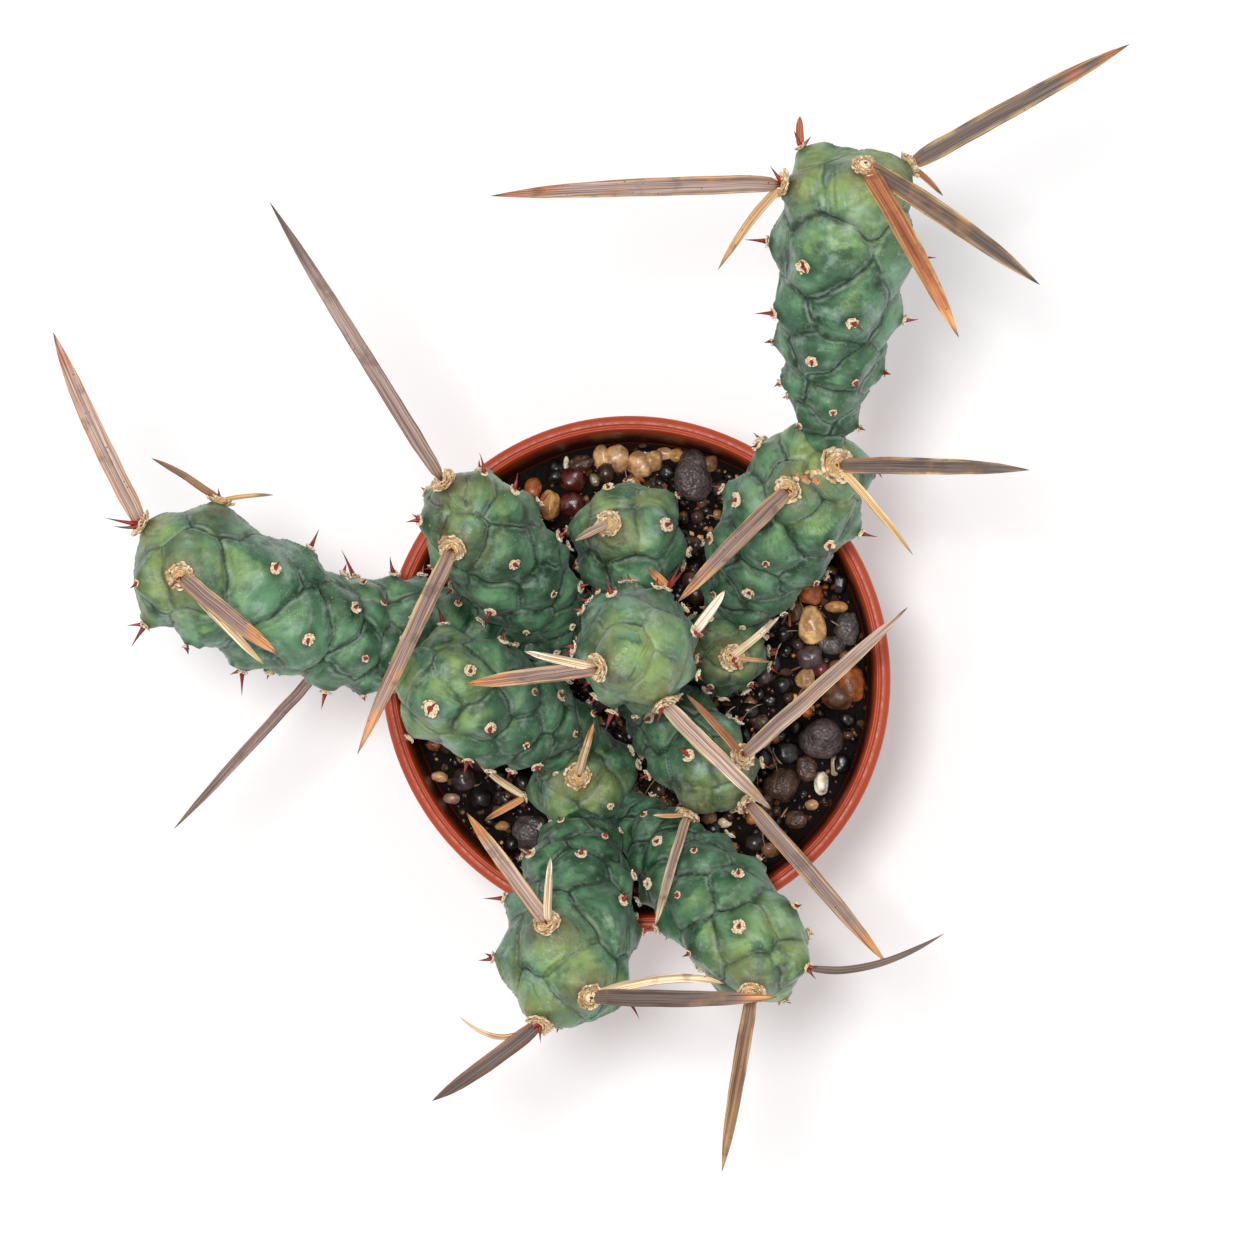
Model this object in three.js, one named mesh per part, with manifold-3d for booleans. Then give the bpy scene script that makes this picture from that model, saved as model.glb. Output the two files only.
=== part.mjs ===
// A paper-spine cactus of pinecone-shaped stem segments, in a plastic nursery pot with pebbly soil.
// Millimetres, +Z up. The origin is the middle of the pot's underside.
import * as THREE from 'three';
import { mergeVertices } from 'three/addons/utils/BufferGeometryUtils.js';
import { ConvexHull } from 'three/addons/math/ConvexHull.js';
import Module from 'manifold-3d';

const wasm = await Module();
wasm.setup();

// Pot and soil
const potHeight = 100;
const rimRadius = 60;
const lipWidth = 3.8;
const lipHeight = 3.2;
const collarHeight = 14;
const baseRadius = 42;
const wallThickness = 1.5;
const floorThickness = 2;
const potSides = 36;
const drainHoles = 6;
const drainRadius = 4;
const drainCircle = 29;
const collarInside = 55;
const soilTop = 88.5;
const gap = 0.32;
const seatGap = 0.7;

// The thin collar is pressed a little out of round, wider from upper left to lower right
const ovalShare = 0.0137;
const ovalTurn = THREE.MathUtils.degToRad(121.5);

// Stem surface: the swellings stand out to their areoles and meet in creases
const peakHeight = 2.1;
const creaseDepth = 1.5;
const closestAreoles = 6.8;
const widestAreoles = 15.5;
const goldenAngle = THREE.MathUtils.degToRad(137.508);

// Beyond the neck, a side that faces the picture by more than this has only the areoles seen there
const neckShare = 0.45;
const facing = 0.35;

// The picture looks almost straight down. A place in it is px to the right and py down.
const view = { middle: 627, focal: 3854, distance: 900, elevation: 85.5, azimuth: -45 };
const rimMiddle = { px: 634.7, py: 672.5 };

function lookFrom() {
  const lift = THREE.MathUtils.degToRad(view.elevation);
  const turn = THREE.MathUtils.degToRad(view.azimuth);
  const forward = new THREE.Vector3(Math.cos(turn), Math.sin(turn), Math.tan(lift)).normalize().negate();
  const right = forward.clone().cross(new THREE.Vector3(0, 1, 0)).normalize();
  const up = right.clone().cross(forward);
  return { forward, right, up };
}

const look = lookFrom();
const eye = new THREE.Vector3(0, 0, potHeight).addScaledVector(ray(rimMiddle.px, rimMiddle.py), -view.distance);

function ray(px, py) {
  return look.forward.clone().addScaledVector(look.right, (px - view.middle) / view.focal)
    .addScaledVector(look.up, (view.middle - py) / view.focal);
}

// Where a point shows in the picture
function shownAt(point) {
  const away = point.clone().sub(eye);
  const depth = away.dot(look.forward);
  return {
    px: view.middle + view.focal * away.dot(look.right) / depth,
    py: view.middle - view.focal * away.dot(look.up) / depth,
  };
}

// The point at height z that shows at a place in the picture
function place(px, py, z) {
  const along = ray(px, py);
  return eye.clone().addScaledVector(along, (z - eye.z) / along.z);
}

// Each segment runs from its narrow base to its tip. The belly is how far along it is widest.
// Areole sizes: large ones carry the long flat spines. A spine's rise is how far its tip ends above its root,
// and via is where a curved one passes halfway.
const segments = [
  {
    name: 'stem_root', radius: 11, belly: 0.55, neck: 0.7, blunt: 2.4,
    base: { px: 622, py: 640, z: 70 }, tip: { px: 624, py: 636, z: 112 }, sparse: 1.4, bare: true, areoles: [],
  },
  {
    name: 'stem_centre', carrier: 'stem_root', radius: 12.7, belly: 0.66, neck: 0.5, blunt: 2.2,
    base: { px: 632, py: 628, z: 104 }, tip: { px: 638, py: 660, z: 176 },
    areoles: [
      { px: 599, py: 667, size: 'large', spines: [
        { px: 465, py: 684, rise: 16, width: 3.7 }, { px: 523, py: 651, rise: 12, width: 2 }] },
      { px: 664, py: 703, size: 'large', spines: [{ px: 772, py: 810, rise: 12, width: 3.9 }] },
      { px: 693, py: 632, size: 'medium', spines: [{ px: 725, py: 590, rise: 8, width: 2.3 }] },
      { px: 674, py: 576, size: 'medium', spines: [{ px: 647, py: 568, rise: 3, width: 2 }] },
      { px: 612, py: 595, size: 'medium' },
      { px: 607, py: 725, size: 'medium' },
      { px: 635, py: 727, size: 'small' },
      { px: 584, py: 572, size: 'small' },
      { px: 617, py: 558, size: 'small' },
    ],
  },
  {
    name: 'stem_upper_left', carrier: 'stem_root', radius: 12.4, belly: 0.62, neck: 0.42, blunt: 2.7,
    base: { px: 572, py: 641, z: 101 }, tip: { px: 449, py: 491, z: 146 },
    areoles: [
      { px: 444, py: 482, size: 'large', spines: [{ px: 269, py: 201, rise: 14, width: 3.6 }] },
      { px: 453, py: 547, size: 'large', spines: [{ px: 357, py: 755, rise: 30, width: 3.9 }] },
      { px: 514, py: 564, size: 'medium' },
      { px: 514, py: 491, size: 'medium' },
      { px: 484, py: 474, size: 'small' },
      { px: 420, py: 520, size: 'medium' },
      { px: 434, py: 567, size: 'small' },
      { px: 540, py: 501, size: 'medium' },
      { px: 558, py: 536, size: 'medium' },
      { px: 491, py: 611, size: 'medium' },
      { px: 553, py: 594, size: 'small' },
      { px: 526, py: 632, size: 'small' },
    ],
  },
  {
    name: 'stem_bottom_inner', radius: 12.4, belly: 0.6, neck: 0.62, blunt: 2.3,
    base: { px: 590, py: 773, z: 74 }, tip: { px: 581, py: 786, z: 113 },
    areoles: [
      { px: 578, py: 776, size: 'large', spines: [{ px: 594, py: 722, rise: 18, width: 2 }] },
      { px: 526, py: 797, size: 'medium', spines: [
        { px: 476, py: 760, rise: 5, width: 1.8 }, { px: 484, py: 821, rise: -2, width: 1.8 }] },
      { px: 610, py: 806, size: 'small' },
      { px: 552, py: 822, size: 'small' },
    ],
  },
  {
    name: 'stem_left', carrier: 'stem_bottom_inner', radius: 13.2, belly: 0.68, neck: 0.42, blunt: 2.6,
    base: { px: 588, py: 744, z: 100 }, tip: { px: 414, py: 673, z: 142 },
    areoles: [
      { px: 470, py: 671, size: 'medium' },
      { px: 431, py: 708, size: 'medium' },
      { px: 490, py: 727, size: 'medium' },
      { px: 534, py: 692, size: 'small' },
      { px: 526, py: 745, size: 'small' },
      { px: 407, py: 739, size: 'medium' },
      { px: 442, py: 621, size: 'medium' },
      { px: 501, py: 641, size: 'medium' },
      { px: 467, py: 760, size: 'medium' },
    ],
  },
  {
    name: 'stem_far_left_under', carrier: 'stem_root', radius: 10.6, belly: 0.66, neck: 0.45, blunt: 2.4,
    base: { px: 596, py: 656, z: 96 }, tip: { px: 318, py: 611, z: 120.5 },
    areoles: [
      { px: 341, py: 568, size: 'medium' },
      { px: 394, py: 574, size: 'medium' },
      { px: 363, py: 583, size: 'small' },
      { px: 412, py: 619, size: 'small' },
      { px: 458, py: 604, size: 'small' },
      { px: 330, py: 656, size: 'large', spines: [{ px: 173, py: 830, rise: -8, width: 2.7 }] },
    ],
  },
  {
    name: 'stem_far_left', carrier: 'stem_far_left_under', radius: 14.6, belly: 0.7, neck: 0.42, blunt: 2.9,
    base: { px: 404, py: 668, z: 124 }, tip: { px: 143, py: 547, z: 155 },
    areoles: [
      { px: 133, py: 517, size: 'large', spines: [{ px: 53, py: 332, rise: 12, width: 4.4 }] },
      { px: 220, py: 500, size: 'large', spines: [
        { px: 151, py: 458, rise: 5, width: 1.7 }, { px: 274, py: 495, rise: 5, width: 1.1 }] },
      { px: 181, py: 576, size: 'large', spines: [
        { px: 279, py: 655, rise: 26, width: 4.1 }, { px: 265, py: 666, rise: 20, width: 2.3 }] },
      { px: 275, py: 569, size: 'medium' },
      { px: 308, py: 639, size: 'medium' },
      { px: 355, py: 608, size: 'medium' },
      { px: 365, py: 658, size: 'small' },
      { px: 314, py: 541, size: 'medium' },
      { px: 146, py: 625, size: 'medium' },
      { px: 186, py: 645, size: 'small' },
      { px: 242, py: 671, size: 'medium' },
      { px: 325, py: 693, size: 'medium' },
      { px: 138, py: 583, size: 'small' },
    ],
  },
  {
    name: 'stem_top', carrier: 'stem_root', radius: 12.6, belly: 0.62, neck: 0.45, blunt: 2.4,
    base: { px: 630, py: 602, z: 95 }, tip: { px: 628, py: 498, z: 116 },
    areoles: [
      { px: 609, py: 524, size: 'large', spines: [{ px: 574, py: 541, rise: 5, width: 2.1 }] },
      { px: 666, py: 525, size: 'medium' },
      { px: 609, py: 488, size: 'medium' },
      { px: 568, py: 529, size: 'small' },
      { px: 675, py: 498, size: 'small' },
    ],
  },
  {
    name: 'stem_right', radius: 9.6, belly: 0.62, neck: 0.6, blunt: 2.3,
    base: { px: 718, py: 650, z: 74 }, tip: { px: 727, py: 652, z: 116 },
    areoles: [
      { px: 732, py: 657, size: 'large', spines: [
        { px: 780, py: 616, rise: 9, width: 1.9 }, { px: 772, py: 662, rise: 4, width: 1.1 }] },
      { px: 711, py: 620, size: 'small' },
      { px: 711, py: 686, size: 'small' },
      { px: 750, py: 684, size: 'small' },
    ],
  },
  {
    name: 'stem_upper_right', carrier: 'stem_right', radius: 14.2, belly: 0.62, neck: 0.4, blunt: 2.7,
    base: { px: 726, py: 618, z: 102 }, tip: { px: 833, py: 441, z: 141 },
    areoles: [
      { px: 837, py: 466, size: 'corky', spines: [
        { px: 1030, py: 470, rise: 10, width: 3.9 }, { px: 913, py: 555, rise: 0, width: 1.9 }] },
      { px: 789, py: 489, size: 'large', spines: [{ px: 677, py: 603, rise: 22, width: 4 }] },
      { px: 797, py: 424, size: 'medium', spines: [{ px: 735, py: 437, rise: 3, width: 3.2 }] },
      { px: 758, py: 444, size: 'medium' },
      { px: 737, py: 500, size: 'medium' },
      { px: 766, py: 563, size: 'small' },
      { px: 829, py: 544, size: 'medium' },
      { px: 865, py: 535, size: 'medium' },
      { px: 816, py: 582, size: 'small' },
      { px: 877, py: 466, size: 'medium' },
    ],
  },
  {
    name: 'stem_upper_right_outer', carrier: 'stem_upper_right', radius: 14.4, belly: 0.74, neck: 0.27,
    blunt: 3.2, base: { px: 822, py: 447, z: 139 }, tip: { px: 853, py: 156, z: 178 },
    areoles: [
      { px: 802, py: 150, size: 'medium', spines: [{ px: 800, py: 116, rise: 2, width: 1.8 }] },
      { px: 783, py: 184, size: 'large', spines: [
        { px: 490, py: 196, rise: 4, width: 4.1 }, { px: 718, py: 270, rise: -6, width: 2 }] },
      { px: 865, py: 167, size: 'large', spines: [
        { px: 959, py: 338, rise: 18, width: 4.3 }, { px: 1040, py: 285, rise: 10, width: 4.4 }] },
      { px: 912, py: 162, size: 'large', spines: [
        { px: 1130, py: 44, rise: 6, width: 4.3 }, { px: 943, py: 196, rise: -3, width: 1.4 }] },
      { px: 804, py: 267, size: 'medium' },
      { px: 852, py: 323, size: 'medium' },
      { px: 812, py: 361, size: 'medium' },
      { px: 855, py: 382, size: 'small' },
      { px: 833, py: 412, size: 'small' },
      { px: 762, py: 241, size: 'medium' },
      { px: 774, py: 313, size: 'medium' },
      { px: 775, py: 342, size: 'small' },
      { px: 920, py: 259, size: 'medium' },
      { px: 905, py: 320, size: 'medium' },
      { px: 883, py: 373, size: 'small' },
    ],
  },
  {
    name: 'stem_lower_right_inner', carrier: 'stem_root', radius: 10.6, belly: 0.62, neck: 0.45, blunt: 2.4,
    base: { px: 632, py: 678, z: 98 }, tip: { px: 737, py: 798, z: 120 },
    areoles: [
      { px: 689, py: 756, size: 'medium' },
      { px: 741, py: 757, size: 'large', spines: [
        { px: 908, py: 607, rise: 14, width: 3.7 }, { px: 685, py: 693, rise: 7, width: 1.9 }] },
      { px: 746, py: 801, size: 'large', spines: [{ px: 888, py: 965, rise: 4, width: 4 }] },
      { px: 689, py: 811, size: 'large', spines: [
        { px: 655, py: 927, rise: 34, width: 2.4 }, { px: 652, py: 815, rise: 3, width: 1.2 }] },
      { px: 650, py: 774, size: 'medium' },
    ],
  },
  {
    name: 'stem_bottom', carrier: 'stem_bottom_inner', radius: 14.6, belly: 0.66, neck: 0.42, blunt: 2.5,
    base: { px: 584, py: 822, z: 102 }, tip: { px: 560, py: 1011, z: 143 },
    areoles: [
      { px: 548, py: 924, size: 'large', spines: [
        { px: 466, py: 812, rise: 14, width: 3.7 }, { px: 551, py: 856, rise: 14, width: 1.9 }] },
      { px: 590, py: 996, size: 'large', spines: [
        { px: 778, py: 997, rise: 9, width: 3.9 }, { px: 725, py: 988, rise: 4, width: 2.6 }] },
      { px: 540, py: 1023, size: 'large', spines: [
        { px: 432, py: 1101, rise: 2, width: 3.8 }, { px: 460, py: 1017, rise: 3, width: 1.4, via: { px: 500, py: 1037 } }] },
      { px: 581, py: 855, size: 'medium' },
      { px: 622, py: 901, size: 'medium' },
      { px: 504, py: 898, size: 'medium' },
      { px: 496, py: 957, size: 'medium' },
      { px: 632, py: 1003, size: 'small' },
      { px: 643, py: 932, size: 'small' },
    ],
  },
  {
    name: 'stem_bottom_right', carrier: 'stem_bottom_inner', radius: 12.8, belly: 0.66, neck: 0.4, blunt: 2.6,
    base: { px: 629, py: 810, z: 98 }, tip: { px: 786, py: 981, z: 135 },
    areoles: [
      { px: 739, py: 927, size: 'medium' },
      { px: 738, py: 874, size: 'medium' },
      { px: 694, py: 851, size: 'small' },
      { px: 678, py: 895, size: 'small' },
      { px: 689, py: 953, size: 'small' },
      { px: 757, py: 860, size: 'small' },
      { px: 795, py: 906, size: 'medium' },
      { px: 808, py: 968, size: 'medium', spines: [
        { px: 945, py: 933, rise: 4, width: 1.8, via: { px: 873, py: 965 } }] },
      { px: 752, py: 991, size: 'large', spines: [{ px: 722, py: 1172, rise: -3, width: 3.4 }] },
    ],
  },
];

// Pebbles that show round the plant, by their middles and their widths in the picture
const pebbles = [
  { px: 826, py: 738, width: 38 }, { px: 693, py: 472, width: 44 }, { px: 789, py: 753, width: 27 },
  { px: 784, py: 790, width: 34 }, { px: 812, py: 768, width: 22 }, { px: 856, py: 626, width: 23 },
  { px: 810, py: 657, width: 24 }, { px: 528, py: 838, width: 30 }, { px: 813, py: 627, width: 28 },
  { px: 601, py: 451, width: 22 }, { px: 619, py: 452, width: 23 }, { px: 643, py: 464, width: 30 },
  { px: 669, py: 443, width: 18 }, { px: 806, py: 681, width: 18 }, { px: 440, py: 777, width: 18 },
  { px: 451, py: 801, width: 20 }, { px: 812, py: 594, width: 21 }, { px: 857, py: 686, width: 28 },
  { px: 839, py: 697, width: 26 }, { px: 832, py: 645, width: 21 }, { px: 537, py: 489, width: 20 },
  { px: 572, py: 480, width: 26 }, { px: 571, py: 506, width: 20 }, { px: 821, py: 784, width: 16 },
  { px: 552, py: 508, width: 22 }, { px: 836, py: 584, width: 20 }, { px: 480, py: 800, width: 24 },
  { px: 760, py: 722, width: 18 }, { px: 716, py: 446, width: 18 }, { px: 796, py: 820, width: 20 },
];

// Seeded draws, so that each build is the same
function draws(seed) {
  let state = seed;
  return () => {
    state = (state * 1664525 + 1013904223) % 4294967296;
    return state / 4294967296;
  };
}

function solid(geometry) {
  geometry.deleteAttribute('normal');
  geometry.deleteAttribute('uv');
  const merged = mergeVertices(geometry, 1e-4);
  return new wasm.Manifold(new wasm.Mesh({
    numProp: 3,
    vertProperties: new Float32Array(merged.attributes.position.array),
    triVerts: new Uint32Array(merged.index.array),
  }));
}

function geometryOf(manifold) {
  const mesh = manifold.getMesh();
  const geometry = new THREE.BufferGeometry();
  geometry.setAttribute('position', new THREE.BufferAttribute(mesh.vertProperties, 3));
  geometry.setIndex(new THREE.BufferAttribute(mesh.triVerts, 1));
  return geometry;
}

function meshGeometry(points, triangles) {
  const geometry = new THREE.BufferGeometry();
  const values = points.flatMap((p) => [p.x, p.y, p.z]);
  geometry.setAttribute('position', new THREE.Float32BufferAttribute(values, 3));
  geometry.setIndex(triangles);
  return geometry;
}

// A segment's measures: its axis, its length and two directions across it
function measure(segment) {
  const base = place(segment.base.px, segment.base.py, segment.base.z);
  const tip = place(segment.tip.px, segment.tip.py, segment.tip.z);
  const along = tip.clone().sub(base);
  const length = along.length();
  along.normalize();
  const side = new THREE.Vector3(0, 0, 1).cross(along);
  if (side.lengthSq() < 0.01) side.set(1, 0, 0).addScaledVector(along, -along.x);
  side.normalize();
  const over = along.clone().cross(side);
  return { ...segment, start: base, along, side, over, length };
}

function radiusAt(stem, t) {
  if (t >= 1) return 0;
  if (t >= stem.belly) {
    const q = (t - stem.belly) / (1 - stem.belly);
    return stem.radius * (1 - q ** stem.blunt) ** (1 / stem.blunt);
  }
  const swell = Math.sin((Math.PI / 2) * Math.max(t, 0) / stem.belly) ** 0.85;
  return stem.radius * (stem.neck + (1 - stem.neck) * swell);
}

// A point's place along the axis and its offset from it
function relative(stem, point) {
  const from = point.clone().sub(stem.start);
  const reach = from.dot(stem.along);
  const offset = from.addScaledVector(stem.along, -reach);
  return { t: reach / stem.length, offset };
}

// The smooth surface's point and outward normal nearest to a point, straight out below the belly
// and out from the dome's middle above it
function onSurface(stem, point) {
  const { t, offset } = relative(stem, point);
  const out = offset.lengthSq() > 1e-8 ? offset.clone().normalize() : stem.side.clone();
  let at = Math.max(t, -0.02);
  let radius = radiusAt(stem, at);
  if (t > stem.belly) {
    const rise = (t - stem.belly) / (1 - stem.belly);
    const spread = offset.length() / stem.radius;
    const scale = (rise ** stem.blunt + spread ** stem.blunt) ** (-1 / stem.blunt);
    at = stem.belly + rise * scale * (1 - stem.belly);
    radius = spread * scale * stem.radius;
  }
  const step = 0.004;
  const slope = (radiusAt(stem, at + step) - radiusAt(stem, at - step)) / (2 * step * stem.length);
  const normal = out.clone().addScaledVector(stem.along, -slope).normalize();
  const spot = stem.start.clone().addScaledVector(stem.along, at * stem.length).addScaledVector(out, radius);
  return { point: spot, normal, t: at };
}

// Where the line of sight through a place in the picture first meets the segment, or passes it closest
function sight(stem, px, py) {
  let best = null;
  let nearest = Infinity;
  for (let z = 215; z > 70; z -= 0.25) {
    const point = place(px, py, z);
    const { t, offset } = relative(stem, point);
    const outside = t > 1 ? Math.hypot(offset.length(), (t - 1) * stem.length)
      : offset.length() - radiusAt(stem, t);
    if (t < -0.05 || outside >= nearest) continue;
    nearest = outside;
    best = point;
    if (outside <= 0) break;
  }
  return onSurface(stem, best);
}

function spacingAt(stem, t) {
  const reach = Math.min(Math.max(t, 0), 1) ** 0.6;
  return (closestAreoles + (widestAreoles - closestAreoles) * reach) * (stem.sparse ?? 1) * stem.radius / 14;
}

function peakAt(stem, t) {
  return peakHeight * Math.min(spacingAt(stem, t) / widestAreoles, 1) ** 0.7;
}

// The spot on the smooth surface whose swelling has its top at a place in the picture
function spotUnder(stem, px, py) {
  let found = sight(stem, px, py);
  const aim = { px, py };
  for (let round = 0; round < 2; round += 1) {
    const top = shownAt(found.point.clone().addScaledVector(found.normal, peakAt(stem, found.t)));
    aim.px -= top.px - px;
    aim.py -= top.py - py;
    found = sight(stem, aim.px, aim.py);
  }
  return found;
}

function facesPicture(surface) {
  return eye.clone().sub(surface.point).normalize().dot(surface.normal) > facing;
}

// The areoles: those seen in the picture, then others in a spiral, spaced alike, on the hidden sides
// and round the necks
function areolesOf(stem) {
  const found = stem.areoles.map((seen) => ({ ...seen, ...spotUnder(stem, seen.px, seen.py) }));
  const candidates = 420;
  for (let i = 0; i < candidates; i += 1) {
    const t = 0.985 - (i / candidates) * 0.95;
    const turn = i * goldenAngle;
    const radius = radiusAt(stem, t);
    const point = stem.start.clone().addScaledVector(stem.along, t * stem.length)
      .addScaledVector(stem.side, Math.cos(turn) * radius)
      .addScaledVector(stem.over, Math.sin(turn) * radius);
    const spacing = spacingAt(stem, t) * 0.86;
    const free = found.every((other) => other.point.distanceTo(point) > spacing);
    const surface = onSurface(stem, point);
    const seen = t > neckShare && facesPicture(surface);
    if (free && !seen) found.push({ size: t > 0.3 ? 'medium' : 'small', ...surface });
  }
  return found;
}

// How far a point is outside a segment's smooth surface
function outsideBy(stem, point) {
  const { t, offset } = relative(stem, point);
  if (t < 0) return Math.hypot(offset.length() - radiusAt(stem, 0), t * stem.length);
  if (t <= stem.belly) return offset.length() - radiusAt(stem, t);
  const surface = onSurface(stem, point);
  return point.clone().sub(surface.point).dot(surface.normal);
}

// An areole pressed close to another segment, the soil or the rim has no thorn
function markCrowded(stems) {
  for (const stem of stems) {
    for (const site of stem.sites) {
      const ahead = site.point.clone().addScaledVector(site.normal, 4.5);
      const pressing = stems.some((other) => other !== stem
        && Math.min(outsideBy(other, ahead), outsideBy(other, site.point)) < 4);
      const low = ahead.z < soilTop + 2.5;
      const onRim = ahead.z < potHeight + 1 && Math.hypot(ahead.x, ahead.y) > collarInside - 4;
      site.crowded = stem.bare || pressing || low || onRim;
    }
  }
}

// Thinner rings round the areole stand for its pad; a small one ends in a thorn
const pads = {
  corky: { radius: 3.7, height: 0.7, thorn: 0 },
  large: { radius: 2.4, height: 0.7, thorn: 0 },
  medium: { radius: 0.8, height: 0.3, thorn: 3 },
  small: { radius: 0.55, height: 0.2, thorn: 2 },
};

// The neighbours of each areole, from the hull of their directions once the segment is drawn in to a ball
function neighbours(stem, sites) {
  const balls = sites.map((site) => {
    const { t, offset } = relative(stem, site.centre);
    return offset.divideScalar(stem.radius).addScaledVector(stem.along, 2 * t - 1).normalize();
  });
  const index = new Map(balls.map((ball, i) => [ball, i]));
  const hull = new ConvexHull().setFromPoints(balls);
  return hull.faces.map((face) => {
    const first = face.edge;
    return [first, first.next, first.next.next].map((edge) => index.get(edge.head().point));
  });
}

// The point as far from all three corners, kept inside their triangle
function meeting(a, b, c) {
  const sides = [b.distanceToSquared(c), c.distanceToSquared(a), a.distanceToSquared(b)];
  const weights = sides.map((side, i) => side * (sides[(i + 1) % 3] + sides[(i + 2) % 3] - side));
  const total = weights.reduce((sum, w) => sum + w, 0);
  const held = weights.map((w) => Math.max(w / total, 0.14));
  const sum = held.reduce((s, w) => s + w, 0);
  return new THREE.Vector3().addScaledVector(a, held[0] / sum).addScaledVector(b, held[1] / sum)
    .addScaledVector(c, held[2] / sum);
}

function raised(stem, point, height) {
  const surface = onSurface(stem, point);
  return surface.point.addScaledVector(surface.normal, height);
}

// The segment's skin: a swelling round each areole, with creases where they meet
function skin(stem, swell) {
  const draw = draws(stem.name.length * 977 + 13);
  const sites = stem.sites.map((site) => {
    const buried = site.point.z < soilTop ? 0.25 : 1;
    const scale = Math.min(spacingAt(stem, site.t) / widestAreoles, 1) * buried;
    const centre = site.point.clone().addScaledVector(stem.along, -0.14 * spacingAt(stem, site.t));
    return { ...site, scale, centre };
  });
  const foot = stem.start.clone().addScaledVector(stem.along, -1.5);
  sites.push({ foot: true, centre: foot, point: foot, scale: 0 });
  const faces = neighbours(stem, sites);
  const points = faces.map(([a, b, c]) => {
    const corner = meeting(sites[a].centre, sites[b].centre, sites[c].centre);
    const scale = (sites[a].scale + sites[b].scale + sites[c].scale) / 3;
    return raised(stem, corner, swell - creaseDepth * scale);
  });
  const triangles = [];
  sites.forEach((site, i) => {
    const ring = cornersRound(i, faces);
    const count = ring.length;
    if (site.foot) {
      points.push(foot);
      const middle = points.length - 1;
      ring.forEach((corner, k) => triangles.push(middle, corner, ring[(k + 1) % count]));
      return;
    }
    const pad = pads[site.size];
    const peak = peakHeight * site.scale ** 0.7;
    let outer = ring;
    if (site.scale > 0.7) {
      outer = addRing(points, triangles, outer, (corner) => {
        const middle = site.point.clone().lerp(points[corner], 0.6);
        return raised(stem, middle, swell + 0.32 * peak);
      });
    }
    outer = addRing(points, triangles, outer, (corner) => {
      const towards = points[corner].clone().sub(site.point);
      towards.addScaledVector(site.normal, -towards.dot(site.normal)).normalize();
      return site.point.clone().addScaledVector(towards, pad.radius)
        .addScaledVector(site.normal, peak + swell);
    });
    const lean = new THREE.Vector3(draw() - 0.5, draw() - 0.5, draw() - 0.5).multiplyScalar(0.9);
    const thorn = swell > 0 || site.crowded ? 0 : pad.thorn * (0.8 + 0.5 * draw());
    points.push(site.point.clone().addScaledVector(site.normal, peak + swell + pad.height)
      .addScaledVector(site.normal.clone().add(lean).normalize(), thorn));
    const top = points.length - 1;
    outer.forEach((corner, k) => triangles.push(top, corner, outer[(k + 1) % count]));
  });
  return meshGeometry(points, triangles);
}

// The corners of a cell, in order, turning left as seen from outside
function cornersRound(site, faces) {
  const following = new Map();
  faces.forEach((face, number) => {
    const at = face.indexOf(site);
    if (at >= 0) following.set(face[(at + 1) % 3], { next: face[(at + 2) % 3], number });
  });
  const ring = [];
  const first = following.keys().next().value;
  let neighbour = first;
  do {
    const { next, number } = following.get(neighbour);
    ring.push(number);
    neighbour = next;
  } while (neighbour !== first);
  return ring;
}

// A ring of new points inside an older ring, joined to it by a band of triangles
function addRing(points, triangles, outer, pointFor) {
  const inner = outer.map((corner) => points.push(pointFor(corner)) - 1);
  outer.forEach((corner, k) => {
    const after = (k + 1) % outer.length;
    triangles.push(inner[k], corner, outer[after], inner[k], outer[after], inner[after]);
  });
  return inner;
}

// A flat papery spine: parallel edges, then a taper to a sharp point, with a slight bow
const spineShape = [[0, 0.75], [0.12, 1], [0.55, 0.95], [0.83, 0.62]];
const spineSink = 1.2;

function spine(stem, site, { px, py, rise, width, via }) {
  const root = site.point.clone().addScaledVector(site.normal, peakAt(stem, site.t) - spineSink);
  const tip = place(px, py, root.z + rise);
  const half = root.clone().lerp(tip, 0.5);
  const middle = via ? place(via.px, via.py, half.z) : half.clone().setZ(half.z + 0.02 * root.distanceTo(tip));
  const bend = middle.multiplyScalar(2).sub(half);
  const curve = new THREE.QuadraticBezierCurve3(root, bend, tip);
  const thickness = Math.max(0.9, width * 0.24);
  const sides = width < 1.5 ? 3 : 4;
  const points = [];
  const triangles = [];
  let outer = [];
  for (const [t, share] of spineShape) {
    const at = curve.getPoint(t);
    const forward = curve.getTangent(t);
    const across = new THREE.Vector3(0, 0, 1).cross(forward).normalize();
    const up = forward.clone().cross(across);
    const ring = [];
    for (let k = 0; k < sides; k += 1) {
      const turn = ((k + 0.5) / sides) * Math.PI * 2;
      const grow = 0.5 / Math.cos(Math.PI / sides) * (sides === 3 ? 0.6 : 1);
      points.push(at.clone().addScaledVector(across, Math.cos(turn) * grow * width * share)
        .addScaledVector(up, Math.sin(turn) * grow * thickness * (0.4 + 0.6 * share)));
      ring.push(points.length - 1);
    }
    if (outer.length) {
      ring.forEach((_, k) => {
        const after = (k + 1) % sides;
        triangles.push(outer[k], outer[after], ring[after], outer[k], ring[after], ring[k]);
      });
    } else {
      for (let k = 1; k < sides - 1; k += 1) triangles.push(ring[0], ring[k + 1], ring[k]);
    }
    outer = ring;
  }
  points.push(tip);
  outer.forEach((corner, k) => triangles.push(corner, outer[(k + 1) % sides], points.length - 1));
  return meshGeometry(points, triangles);
}

function largestPiece(manifold) {
  const pieces = manifold.decompose();
  return pieces.reduce((best, piece) => (piece.volume() > best.volume() ? piece : best));
}

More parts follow.
